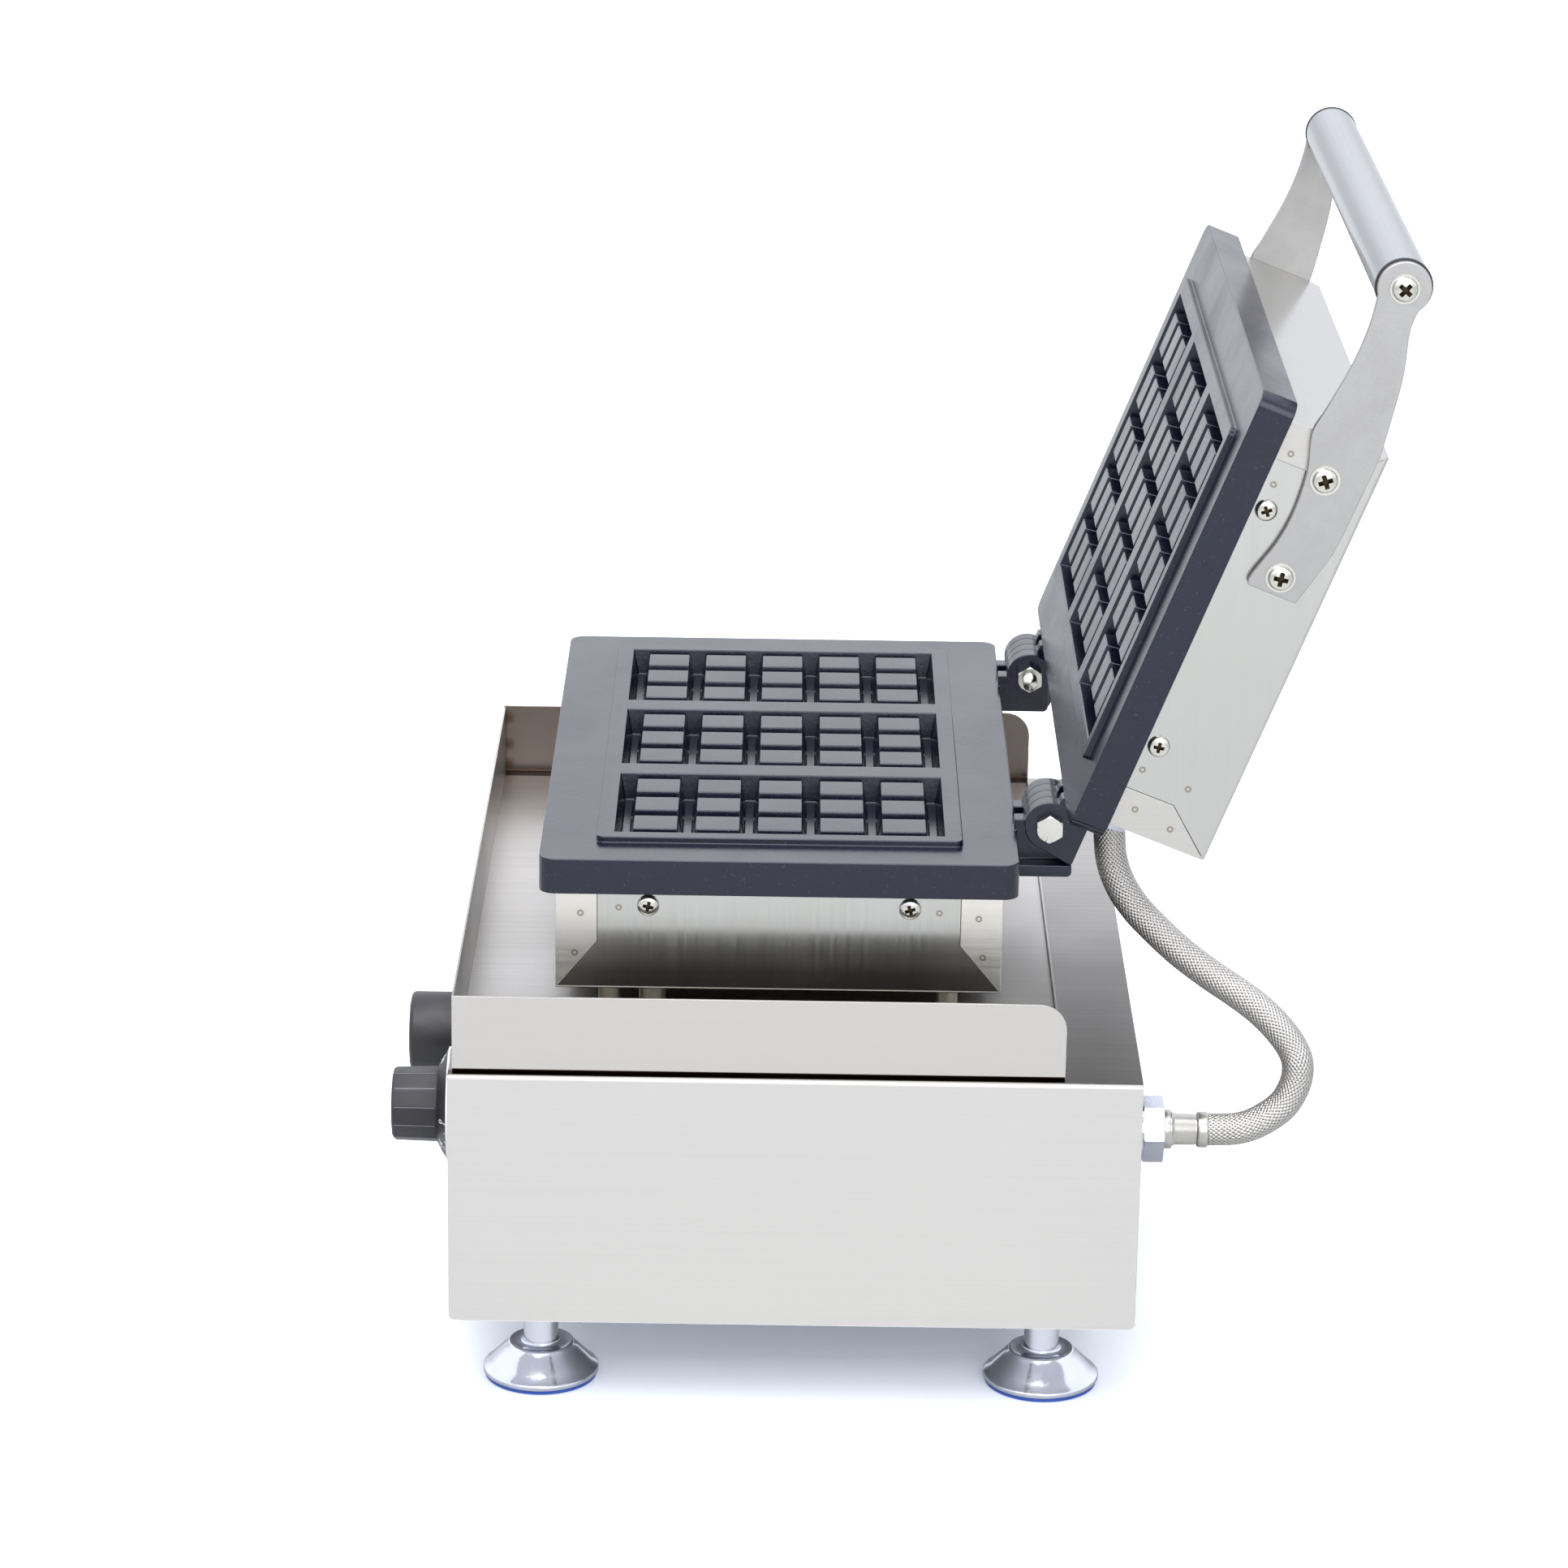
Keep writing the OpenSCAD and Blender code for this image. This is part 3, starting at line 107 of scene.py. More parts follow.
class Tree:
    """A material's node tree. Its methods add nodes and give back a socket."""

    def __init__(self, name):
        self.mat = D.materials.new(name)
        self.mat.use_nodes = True
        self.t = self.mat.node_tree
        self.t.nodes.clear()
        self.out = self.t.nodes.new("ShaderNodeOutputMaterial")
        self.coord = None

    def n(self, kind, **kw):
        node = self.t.nodes.new("ShaderNode" + kind)
        for k, v in kw.items():
            setattr(node, k, v)
        return node

    def put(self, socket, v):
        if isinstance(v, bpy.types.NodeSocket):
            self.t.links.new(v, socket)
        elif isinstance(v, bpy.types.Node):
            self.t.links.new(v.outputs[0], socket)
        else:
            socket.default_value = v

    def pos(self):
        if self.coord is None:
            self.coord = self.n("TexCoord").outputs["Object"]
        return self.coord

    def drawn_out(self, axis, along, across):
        """Coordinates at one scale along an axis and another across it."""
        m = self.n("Mapping")
        self.put(m.inputs["Vector"], self.pos())
        m.inputs["Scale"].default_value = [along if a == axis else across for a in "xyz"]
        return m.outputs[0]

    def noise(self, vec, scale, detail, rough):
        n = self.n("TexNoise")
        self.put(n.inputs["Vector"], vec)
        n.inputs["Scale"].default_value = scale
        n.inputs["Detail"].default_value = detail
        n.inputs["Roughness"].default_value = rough
        return n.outputs["Fac"]

    def math(self, op, a, b=0.0, clamp=False):
        m = self.n("Math", operation=op)
        m.use_clamp = clamp
        self.put(m.inputs[0], a)
        self.put(m.inputs[1], b)
        return m.outputs[0]

    def mul(self, a, b):
        return self.math("MULTIPLY", a, b)

    def remap(self, v, a0, a1, b0, b1):
        m = self.n("MapRange")
        self.put(m.inputs["Value"], v)
        for k, x in zip(("From Min", "From Max", "To Min", "To Max"), (a0, a1, b0, b1)):
            m.inputs[k].default_value = x
        return m.outputs[0]

    def between(self, v, low, high, fade_low, fade_high):
        """1 from low to high (in millimetres), fading inside both ends over the given metres."""
        return self.mul(self.remap(v, low / 1000, low / 1000 + fade_low, 0.0, 1.0),
                        self.remap(v, high / 1000 - fade_high, high / 1000, 1.0, 0.0))

    def mix(self, fac, a, b, blend="MIX"):
        m = self.n("Mix", data_type="RGBA", blend_type=blend)
        self.put(m.inputs[0], fac)
        self.put(m.inputs[6], a)
        self.put(m.inputs[7], b)
        return m.outputs[2]

    def ramp(self, fac, stops):
        r = self.n("ValToRGB")
        self.put(r.inputs[0], fac)
        els = r.color_ramp.elements
        while len(els) < len(stops):
            els.new(0.5)
        for e, (p, c) in zip(els, stops):
            e.position, e.color = p, c
        return r.outputs[0]

    def bump(self, height, strength, dist):
        b = self.n("Bump")
        b.inputs["Strength"].default_value = strength
        b.inputs["Distance"].default_value = dist
        self.put(b.inputs["Height"], height)
        return b.outputs[0]

    def attr(self, name):
        a = self.n("Attribute")
        a.attribute_name = name
        return a.outputs["Fac"]

    def spots(self, points, radius, soft):
        """1 near any of the points (in millimetres), 0 elsewhere."""
        total = None
        for p in points:
            d = self.n("VectorMath", operation="DISTANCE")
            self.put(d.inputs[0], self.pos())
            d.inputs[1].default_value = P(*p)
            m = self.remap(d.outputs["Value"], radius / 1000 * (1 - soft), radius / 1000, 1.0, 0.0)
            total = m if total is None else self.math("MAXIMUM", total, m)
        return total

    def surface(self, color, rough, metal, normal, **kw):
        p = self.n("BsdfPrincipled")
        self.put(p.inputs["Base Color"], color)
        self.put(p.inputs["Roughness"], rough)
        p.inputs["Metallic"].default_value = metal
        self.put(p.inputs["Normal"], normal)
        for k, v in kw.items():
            p.inputs[k.replace("_", " ")].default_value = v
        self.t.links.new(p.outputs[0], self.out.inputs[0])
        return self.mat


TRAY_END = max(v.co.y for v in NODES["spill_tray"].data.vertices)
MARK_R = 2.0  # radius of a spot weld's mark in mm


def brushed(name, col, rough, axis, grain=1.0, smudge=0.05, tint=None, marks=None, top=None,
            painted_gap_shade=None, heights=None, far=None, stains=None):
    """Sheet metal with fine grain along one axis and faint smudges. Lengths are in mm.
    tint colours the smudges; marks are the places of spot welds; top paints shade on the faces that look up,
    by (near, far) factors across the machine; painted_gap_shade is the low and the high (|X|, Z) corner of a
    strip painted dark as shade where the tray sits on the housing; heights gives factors at heights, painted
    shade and reflection; far browns what lies at a lower X; stains are burns."""
    t = Tree(name)
    fine = t.noise(t.drawn_out(axis, 3, 620), 1.0, 3.0, 0.6)
    hair = t.noise(t.drawn_out(axis, 14, 2600), 1.0, 2.0, 0.5)
    cloud = t.noise(t.pos(), 9.0, 3.0, 0.6)
    r = t.math("ADD", t.remap(fine, 0.3, 0.7, rough - 0.06 * grain, rough + 0.06 * grain),
               t.remap(cloud, 0.35, 0.7, -0.02, smudge))
    c = t.mix(t.remap(fine, 0.3, 0.75, 0.0, 0.55 * grain), col, times(col, 0.86))
    if tint is not None:
        c = t.mix(t.remap(cloud, 0.45, 0.75, 0.0, 0.5), c, tint)
    h = t.math("ADD", t.mul(fine, 0.6), t.mul(hair, 0.4))
    at = t.n("SeparateXYZ")
    t.put(at.inputs[0], t.pos())
    # Painted shade: the faces that look up are darkened, by factors that run from the near side to the far
    # side.
    if top:
        normal = t.n("SeparateXYZ")
        t.put(normal.inputs[0], t.n("NewGeometry").outputs["Normal"])
        streak = t.remap(fine, 0.3, 0.7, 1 - 0.35 * grain, 1 + 0.3 * grain)
        shade = t.mul(t.remap(at.outputs[0], 0.24, -0.12, top[0], top[1]), streak)
        grey = t.n("CombineColor")
        for k in range(3):
            t.put(grey.inputs[k], t.mul(shade, col[k]))
        c = t.mix(t.remap(normal.outputs[2], 0.12, 0.75, 0.0, 1.0), c, grey.outputs[0])
    # Painted shade and reflection: the colour is made darker or lighter at the given heights in mm.
    if heights:
        stops = [((z - 200) / 100, (f, f, f, 1.0)) for z, f in heights]
        c = t.mix(1.0, c, t.ramp(t.remap(at.outputs[2], 0.2, 0.3, 0.0, 1.0), stops), "MULTIPLY")
    if far is not None:
        c = t.mix(t.remap(at.outputs[0], far / 1000, far / 1000 - 0.0004, 0.0, 1.0), c, lin(128, 118, 112))
    if stains:
        c = t.mix(t.mul(t.spots(stains, 5.0, 0.8), 0.85), c, lin(92, 66, 44))
    # Painted shade: a dark strip where the tray sits on the housing, ending at the tray's rear end.
    if painted_gap_shade:
        (x0, z0), (x1, z1) = painted_gap_shade
        inside = t.mul(t.between(t.math("ABSOLUTE", at.outputs[0]), x0, x1, 0.0006, 0.0006),
                       t.between(at.outputs[2], z0, z1, 0.0001, 0.0004))
        inside = t.mul(inside, t.remap(at.outputs[1], TRAY_END - 0.0005, TRAY_END, 1.0, 0.0))
        c = t.mix(inside, c, lin(52, 40, 32))
    if marks:
        inner = t.spots(marks, MARK_R * 0.55, 0.5)
        ring = t.math("SUBTRACT", t.spots(marks, MARK_R, 0.35), inner, clamp=True)
        c = t.mix(t.mul(ring, 0.8), c, lin(98, 90, 78))
        c = t.mix(t.mul(t.spots(marks, MARK_R * 2.4, 0.9), 0.12), c, lin(190, 178, 150))
        h = t.math("SUBTRACT", h, t.mul(ring, 1.5))
    return t.surface(c, r, 1.0, t.bump(h, 0.10 * grain, 0.0006))


def plain_metal(name, col, rough, bump=0.08, scale=700, spots=0.04):
    """Plated or turned metal, with a fine grain of the given scale and duller clouds."""
    t = Tree(name)
    g = t.noise(t.pos(), scale, 3.0, 0.6)
    cloud = t.noise(t.pos(), 60.0, 3.0, 0.6)
    r = t.math("ADD", t.remap(g, 0.3, 0.7, rough - 0.05, rough + 0.05), t.remap(cloud, 0.4, 0.7, 0.0, spots))
    c = t.mix(t.remap(cloud, 0.4, 0.75, 0.0, 0.6), col, times(col, 0.88))
    return t.surface(c, r, 1.0, t.bump(g, bump, 0.0004))


def plastic(name, col, rough, bump=0.10, scale=1400):
    """Anything that isn't metal, with a fine grain and paler, duller clouds."""
    t = Tree(name)
    g = t.noise(t.pos(), scale, 2.0, 0.5)
    cloud = t.noise(t.pos(), 40.0, 3.0, 0.6)
    r = t.remap(cloud, 0.35, 0.7, rough - 0.05, rough + 0.07)
    paler = tuple(min(1, x * 1.25 + 0.004) for x in col[:3]) + (1.0,)
    c = t.mix(t.remap(cloud, 0.4, 0.75, 0.0, 0.5), col, paler)
    return t.surface(c, r, 0.0, t.bump(g, bump, 0.0004))


def cast_coat(name, col):
    """Non-stick coating over a sand-blasted casting, rubbed a little paler in places."""
    rough = 0.21
    t = Tree(name)
    grit = t.noise(t.pos(), 1500.0, 2.0, 0.6)
    orange = t.noise(t.pos(), 260.0, 3.0, 0.6)
    cloud = t.noise(t.pos(), 14.0, 4.0, 0.6)
    r = t.math("ADD", t.remap(cloud, 0.35, 0.7, rough - 0.05, rough + 0.06),
               t.remap(grit, 0.3, 0.7, -0.03, 0.03))
    c = t.mix(t.remap(cloud, 0.35, 0.75, 0.0, 0.7), col, times(col, 1.3))
    speck = t.remap(t.noise(t.pos(), 900.0, 1.0, 0.5), 0.72, 0.78, 0.0, 0.5)
    c = t.mix(speck, c, lin(96, 98, 112))
    h = t.math("ADD", t.mul(grit, 0.4), t.mul(orange, 0.6))
    return t.surface(c, r, 0.0, t.bump(h, 0.14, 0.0006), IOR=1.5, Specular_Tint=(0.86, 0.89, 1.0, 1.0))


# The hose's braid: strands each way, mm of hose for one turn of a strand, the share of its room that a
# strand fills, how far it rises where it crosses over, and the wires in it
STRANDS, LEAD, WIDE, LIFT, WIRES = 24, 67.0, 0.78, 0.24, 5


def braid(name):
    """Woven wire: two sets of strands cross, and the spaces between them and the creases between the wires
    are painted dark as shade.
    """
    t = Tree(name)
    turn, along = t.attr("turn"), t.math("DIVIDE", t.attr("along"), LEAD)
    low = -0.7
    cells = [t.mul(t.math(op, turn, along), STRANDS) for op in ("ADD", "SUBTRACT")]
    odd = t.math("FLOORED_MODULO", t.math("ADD", *(t.math("FLOOR", v) for v in cells)), 2.0)
    over = t.math("SUBTRACT", 1.0, t.mul(odd, 2.0))
    off = [t.math("SUBTRACT", t.math("FRACT", v), 0.5) for v in cells]
    heights, wires = [], []
    for mine, other, lift in ((0, 1, LIFT), (1, 0, -LIFT)):
        wave = t.mul(t.math("COSINE", t.mul(off[other], math.pi)), lift)
        side = t.mul(t.math("ABSOLUTE", off[mine]), 2 / WIDE)
        wire = t.math("COSINE", t.mul(off[mine], 2 * math.pi * WIRES / WIDE))
        h = t.math("SUBTRACT", t.mul(wave, over), t.mul(t.math("POWER", side, 2.0), 0.2))
        h = t.math("ADD", h, t.mul(wire, 0.035))
        inside = t.math("LESS_THAN", side, 1.0)
        heights.append(t.math("ADD", t.mul(t.math("SUBTRACT", h, low), inside), low))
        wires.append(wire)
    height = t.math("MAXIMUM", *heights)
    wire = t.mix(t.math("GREATER_THAN", *heights), wires[1], wires[0])
    # Painted shade: darker between the wires of a strand, and near black where the braid dips between the
    # strands.
    c = t.mix(t.remap(wire, -0.9, 0.3, 0.45, 0.0), lin(186, 184, 180), lin(92, 89, 86))
    c = t.mix(t.remap(height, -0.02, -0.3, 0.0, 1.0), c, lin(20, 18, 18))
    r = t.remap(height, -0.1, -0.5, 0.26, 0.8)
    return t.surface(c, r, 1.0, t.bump(height, 0.3, 0.001))


AXIS = (303.5, 286.9)  # the hinges' Y and Z in mm
OPEN = math.radians(-111.5)


def opened(x, y, z):
    """Where a point of the closed upper half lies in the open rest pose."""
    dy, dz = y - AXIS[0], z - AXIS[1]
    return (x, AXIS[0] + dy * math.cos(OPEN) - dz * math.sin(OPEN),
            AXIS[1] + dy * math.sin(OPEN) + dz * math.cos(OPEN))


# Spot welds of the tabs, on the lower box and, closed, on the upper one
WELDS = [(189.8, 64.6, 250.3), (189.8, 61.7, 228.7), (188.9, 84.0, 253.2),
         (189.8, 267.0, 250.0), (189.8, 269.5, 229.0), (188.9, 247.0, 252.5)]
WELDS += [opened(x, y, z + 48.5) for x, y, z in
          ((189.8, 68.0, 265.0), (188.9, 85.7, 263.6), (188.9, 246.5, 263.0), (188.9, 247.3, 288.4),
           (189.8, 267.0, 267.8), (189.8, 270.0, 288.4))]
M = {
    # Painted shade on the housing's faces that look up, and in a strip where the tray sits on it.
    "brushed_sheet": brushed("brushed_sheet", lin(198, 196, 193), 0.34, "y", 0.35, top=(0.4, 0.62),
                             painted_gap_shade=((237.0, 181.9), (243.2, 184.0))),
    # Painted shade on the tray's faces that look up, and in a strip at the foot of its walls.
    "tray_sheet": brushed("tray_sheet", lin(190, 187, 183), 0.30, "y", 0.25, top=(0.56, 1.0),
                          painted_gap_shade=((230.0, 183.0), (242.0, 185.0)), far=-236.0,
                          stains=[(-239.0, 4.5, z) for z in (216.0, 200.0, 188.0)]),
    # Painted light: the base plate's sheet is made paler than the other sheets, so that its shaded underside
    # shows pale in the chrome feet.
    "base_sheet": brushed("base_sheet", lin(232, 233, 236), 0.4, "x"),
    # Painted shade and reflection on the heater boxes: darker low down, lighter from 226 to 234 mm.
    "bright_sheet": brushed("bright_sheet", lin(180, 180, 177), 0.2, "z", 0.5, 0.03, lin(180, 177, 168),
                            WELDS, heights=((211, 0.7), (219, 0.85), (226, 1.5), (234, 1.7), (246, 1.0))),
    "arm_steel": plain_metal("arm_steel", lin(165, 164, 163), 0.42, 0.2, 900),
    "bright_tube": brushed("bright_tube", lin(150, 152, 157), 0.17, "x", 0.4),
    "zinc_screws": plain_metal("zinc_screws", lin(198, 197, 190), 0.2),
    "foot_chrome": plain_metal("foot_chrome", lin(198, 202, 212), 0.13, 0.012, 700, 0.02),
    "foot_film": plastic("foot_film", lin(40, 84, 176), 0.35, 0.05),
    "black_plastic": plastic("black_plastic", lin(29, 28, 34), 0.44),
    "control_body": plastic("control_body", lin(205, 198, 172), 0.5),
    "ceramic": plastic("ceramic", lin(228, 224, 210), 0.2),
    "shaft_steel": plain_metal("shaft_steel", lin(180, 180, 180), 0.3),
    "inlet_metal": plain_metal("inlet_metal", lin(205, 203, 190), 0.25),
    "leg_steel": plain_metal("leg_steel", lin(160, 156, 140), 0.35),
    "plate_casting": cast_coat("plate_casting", lin(14, 15, 32)),
    "heater_sheath": plain_metal("heater_sheath", lin(90, 88, 84), 0.5),
    "clamp_sheet": plain_metal("clamp_sheet", lin(165, 165, 165), 0.4),
    "blanket": plastic("blanket", lin(235, 232, 220), 0.9, 0.6, 300),
    "bulb_copper": plain_metal("bulb_copper", lin(200, 130, 90), 0.3),
    "gland_metal": plain_metal("gland_metal", lin(176, 180, 190), 0.12, 0.03),
    "braid": braid("braid"),
    "ferrule_metal": plain_metal("ferrule_metal", lin(174, 172, 167), 0.3, 0.08, 500),
    "dial_ink": plastic("dial_ink", lin(236, 236, 236), 0.5, 0.02),
    # Painted shade: a dark brown for the inside of the screws' cross recesses.
    "recess": plain_metal("recess", lin(74, 62, 46), 0.6),
    "seam": plastic("seam", lin(40, 36, 34), 0.6, 0.02),
    # A pale colour painted as highlights on the corners of the thermostat's grip.
    "painted_edge_highlight": plastic("painted_edge_highlight", lin(140, 139, 148), 0.5, 0.02),
    # Painted light on the tabs: lighter below 262 mm.
    "tab_sheet": brushed("tab_sheet", lin(186, 184, 180), 0.38, "y", 0.7, 0.05, lin(180, 174, 162), WELDS,
                         heights=((262, 1.45), (268, 1.0))),
}

REC = frame["record"]
SLOT = {s["node"]: s["material_slot"] for s in REC["subparts"]}
BODY = {n: body for body, members in REC["behaviour"]["bodies"].items() for n in members}
for name, obj in NODES.items():
    obj.data.materials.clear()
    obj.data.materials.append(M["tray_sheet" if name == "spill_tray" else SLOT[name]])


# Meshes
def to_object(name, me, mat, smooth=True):
    """An object in the scene from a mesh, or from a bmesh that is used up."""
    if isinstance(me, bmesh.types.BMesh):
        bm, me = me, D.meshes.new(name)
        bm.to_mesh(me)
        bm.free()
    me.materials.clear()
    me.materials.append(mat)
    for p in me.polygons:
        p.use_smooth = smooth
    o = D.objects.new(name, me)
    bpy.context.scene.collection.objects.link(o)
    return o


def baked(o):
    """Apply an object's modifiers to its mesh."""
    dg = bpy.context.evaluated_depsgraph_get()
    me = D.meshes.new_from_object(o.evaluated_get(dg), depsgraph=dg)
    o.modifiers.clear()
    o.data = me


def placed(bm, name, m):
    """The finished bm as a mesh, moved by the matrix m."""
    me = D.meshes.new(name)
    bm.to_mesh(me)
    bm.free()
    me.transform(m)
    return me


def clean_copy(node):
    """The node's mesh with its coplanar triangles joined."""
    bm = bmesh.new()
    bm.from_mesh(NODES[node].data)
    bmesh.ops.remove_doubles(bm, verts=bm.verts, dist=1e-6)
    bmesh.ops.dissolve_limit(bm, angle_limit=math.radians(1), verts=bm.verts, edges=bm.edges)
    return bm


def stand_in(o, node):
    """o is shown in place of the node and moves with its body."""
    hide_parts(node)
    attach(o, BODY[node])


def dressed(node, width):
    """The node with its sharp edges broken to width mm. A point that the bevel throws off goes back."""
    o = to_object(node + "_dressed", clean_copy(node), NODES[node].data.materials[0])
    sharp = bmesh.new()
    sharp.from_mesh(NODES[node].data)
    near = BVHTree.FromBMesh(sharp)
    sharp.free()
    b = o.modifiers.new("bevel", "BEVEL")
    b.width = width / 1000
    b.segments = 2
    b.limit_method = "ANGLE"
    b.angle_limit = math.radians(24)
    b.use_clamp_overlap = False
    n = o.modifiers.new("normals", "WEIGHTED_NORMAL")
    n.keep_sharp = True
    baked(o)
    for v in o.data.vertices:
        place, _, _, away = near.find_nearest(v.co)
        if away > width * 0.0009:
            v.co = place
    stand_in(o, node)
    return o


def lathe(profile, count=48):
    """A solid turned about X from (x, radius) pairs in metres, in count steps."""
    bm = bmesh.new()
    rings = []
    for x, r in profile:
        if r < 1e-9:
            rings.append([bm.verts.new((x, 0, 0))])
        else:
            turns = [2 * math.pi * k / count for k in range(count)]
            rings.append([bm.verts.new((x, r * math.cos(a), r * math.sin(a))) for a in turns])
    for a, b in zip(rings, rings[1:]):
        for k in range(count):
            k2 = (k + 1) % count
            face = [a[k % len(a)], a[k2 % len(a)], b[k2 % len(b)], b[k % len(b)]]
            if len(a) == 1:
                face = [a[0], b[k2], b[k]]
            elif len(b) == 1:
                face = [a[k], a[k2], b[0]]
            bm.faces.new(face)
    bmesh.ops.remove_doubles(bm, verts=bm.verts, dist=1e-7)
    bmesh.ops.recalc_face_normals(bm, faces=bm.faces)
    return bm


def slab(bm, ring, off):
    """A thin plate between a ring of points and the same ring moved by off."""
    a = [bm.verts.new(p) for p in ring]
    b = [bm.verts.new(p + Vector(off)) for p in ring]
    faces = [bm.faces.new(a), bm.faces.new(b[::-1])]
    for k in range(len(ring)):
        j = (k + 1) % len(ring)
        faces.append(bm.faces.new((a[j], a[k], b[k], b[j])))
    bmesh.ops.recalc_face_normals(bm, faces=faces)


def boolean(a, b, operation):
    """a, cut by or met with b, which is used up."""
    m = a.modifiers.new("cut", "BOOLEAN")
    m.operation = operation
    m.object = b
    m.solver = "EXACT"
    m.material_mode = "TRANSFER"
    baked(a)
    D.objects.remove(b)


def islands(node):
    """The node's loose solids, each as its lowest and highest corner."""
    bm = bmesh.new()
    bm.from_mesh(NODES[node].data)
    bmesh.ops.remove_doubles(bm, verts=bm.verts, dist=1e-6)
    left, found = set(bm.verts), []
    while left:
        stack, seen = [left.pop()], []
        while stack:
            v = stack.pop()
            seen.append(v.co.copy())
            for e in v.link_edges:
                w = e.other_vert(v)
                if w in left:
                    left.remove(w)
                    stack.append(w)
        found.append((Vector([min(c[i] for c in seen) for i in range(3)]),
                      Vector([max(c[i] for c in seen) for i in range(3)])))
    bm.free()
    return sorted(found, key=lambda p: tuple(round(v, 5) for v in p[0]))


# Cross-recessed screws along X, domed heads outwards
def screw_mesh(radius, head_h, shank_r, length, washer):
    """A screw whose head stands on x = 0, in metres. washer is the height of a flange under it, or 0."""
    dome = [(0.0, radius)]
    if washer:
        dome += [(washer, radius), (washer, radius * 0.86)]
    base, rim = dome[-1]
    steps = 8
    for k in range(steps):
        a = math.pi / 2 * k / steps
        dome.append((base + (head_h - base) * (0.22 + 0.78 * math.sin(a)), rim * 0.96 * math.cos(a) ** 0.62))
    dome.append((head_h, 0.0))
    body = [(head_h - length, 0.0), (head_h - length, shank_r), (0.0, shank_r)] + dome
    head = to_object("screw", lathe(body), M["zinc_screws"])
    arm_w, arm_l, depth = 0.17 * radius, 0.60 * radius, 0.75 * head_h
    for across in (False, True):
        bm = bmesh.new()
        for v in bmesh.ops.create_cube(bm, size=1)["verts"]:
            deep = v.co.x < 0
            x = head_h - depth if deep else head_h + 0.001
            y = math.copysign(arm_w * (0.7 if deep else 1.0), v.co.y)
            z = math.copysign(arm_l * (0.45 if deep else 1.0), v.co.z)
            v.co = (x, z, -y) if across else (x, y, z)
        # The recess is cut with the colour of painted shade.
        boolean(head, to_object("wing", bm, M["recess"]), "DIFFERENCE")
    me = head.data
    D.objects.remove(head)
    return me


def crossed_screws(node, head_h, shank_r, washer=0.0):
    """The node's screws, each with its recess turned to another angle."""
    spots = islands(node)
    lo, hi = spots[0]
    me = screw_mesh((hi.y - lo.y) / 2 - 0.00001, head_h, shank_r, hi.x - lo.x, washer)
    merged = bmesh.new()
    for i, (lo, hi) in enumerate(spots):
        side = 1 if lo.x + hi.x > 0 else -1
        out = hi.x if side > 0 else -lo.x
        m = Matrix.Translation((side * (out - head_h), (lo.y + hi.y) / 2, (lo.z + hi.z) / 2))
        m = m @ Matrix.Rotation(0 if side > 0 else math.pi, 4, "Z") @ Matrix.Rotation(0.3 + 2.1 * i, 4, "X")
        copy = me.copy()
        copy.transform(m)
        merged.from_mesh(copy)
    slots = [f.material_index for f in merged.faces]
    o = to_object(node + "_dressed", merged, M["zinc_screws"])
    o.data.materials.append(M["recess"])
    o.data.polygons.foreach_set("material_index", slots)
    o.data.set_sharp_from_angle(angle=math.radians(32))
    stand_in(o, node)


def chamfered(node, axis="x", chamfer=0.30):
    """Hexagons along one axis with their corners turned off at both faces."""
    o = to_object(node + "_dressed", clean_copy(node), NODES[node].data.materials[0])
    cutter = bmesh.new()
    i = "xyz".index(axis)
    laid = Matrix.Rotation(math.pi / 2, 4, "Z") if axis == "y" else Matrix.Identity(4)
    for lo, hi in islands(node):
        x0, x1 = lo[i], hi[i]
        r = max(hi[k] - lo[k] for k in range(3) if k != i) / 2
        c = (1 - chamfer * 0.42) * r
        d = (r - c) * 0.58
        past = r * 1.02
        bm = lathe([(x0, 0), (x0, c), (x0 + d, past), (x1 - d, past), (x1, c), (x1, 0)], 64)
        mid = (lo + hi) / 2
        mid[i] = 0
        me = placed(bm, "cutter", Matrix.Translation(mid) @ laid)
        cutter.from_mesh(me)
        D.meshes.remove(me)
    boolean(o, to_object("cutter", cutter, o.data.materials[0]), "INTERSECT")
    for p in o.data.polygons:
        p.use_smooth = True
    o.data.set_sharp_from_angle(angle=math.radians(20))
    stand_in(o, node)


# Hose: woven wire over the same route as in the part's source, in mm from the body's front face
ROUTE = [(173, 389, 130), (173, 405, 131), (171, 417, 135), (169, 428, 143), (167, 434, 154), (165, 435, 164),
         (162, 432, 172), (159, 425, 181), (155, 415, 190), (151, 403, 198), (146, 389, 206), (141, 374, 216),
         (137, 361, 227), (134, 350, 238), (132, 342, 250), (130, 337, 264), (130, 335.278, 282.43)]


def smooth_line(points, step):
    """A Catmull-Rom line through the points, evenly spaced, and each point's distance along it."""
    p = np.array(points, float)
    p = np.vstack([2 * p[0] - p[1], p, 2 * p[-1] - p[-2]])
    fine = []
    for i in range(1, len(p) - 2):
        for u in np.linspace(0, 1, 24, endpoint=False):
            a, b, c, d = p[i - 1], p[i], p[i + 1], p[i + 2]
            fine.append(0.5 * (2 * b + (c - a) * u + (2 * a - 5 * b + 4 * c - d) * u * u
                               + (3 * b - a - 3 * c + d) * u ** 3))
    fine.append(p[-2])
    fine = np.array(fine)
    s = np.concatenate([[0], np.cumsum(np.linalg.norm(np.diff(fine, axis=0), axis=1))])
    n = int(s[-1] / step) + 1
    t = np.linspace(0, s[-1], n)
    return np.stack([np.interp(t, s, fine[:, k]) for k in range(3)], 1), t


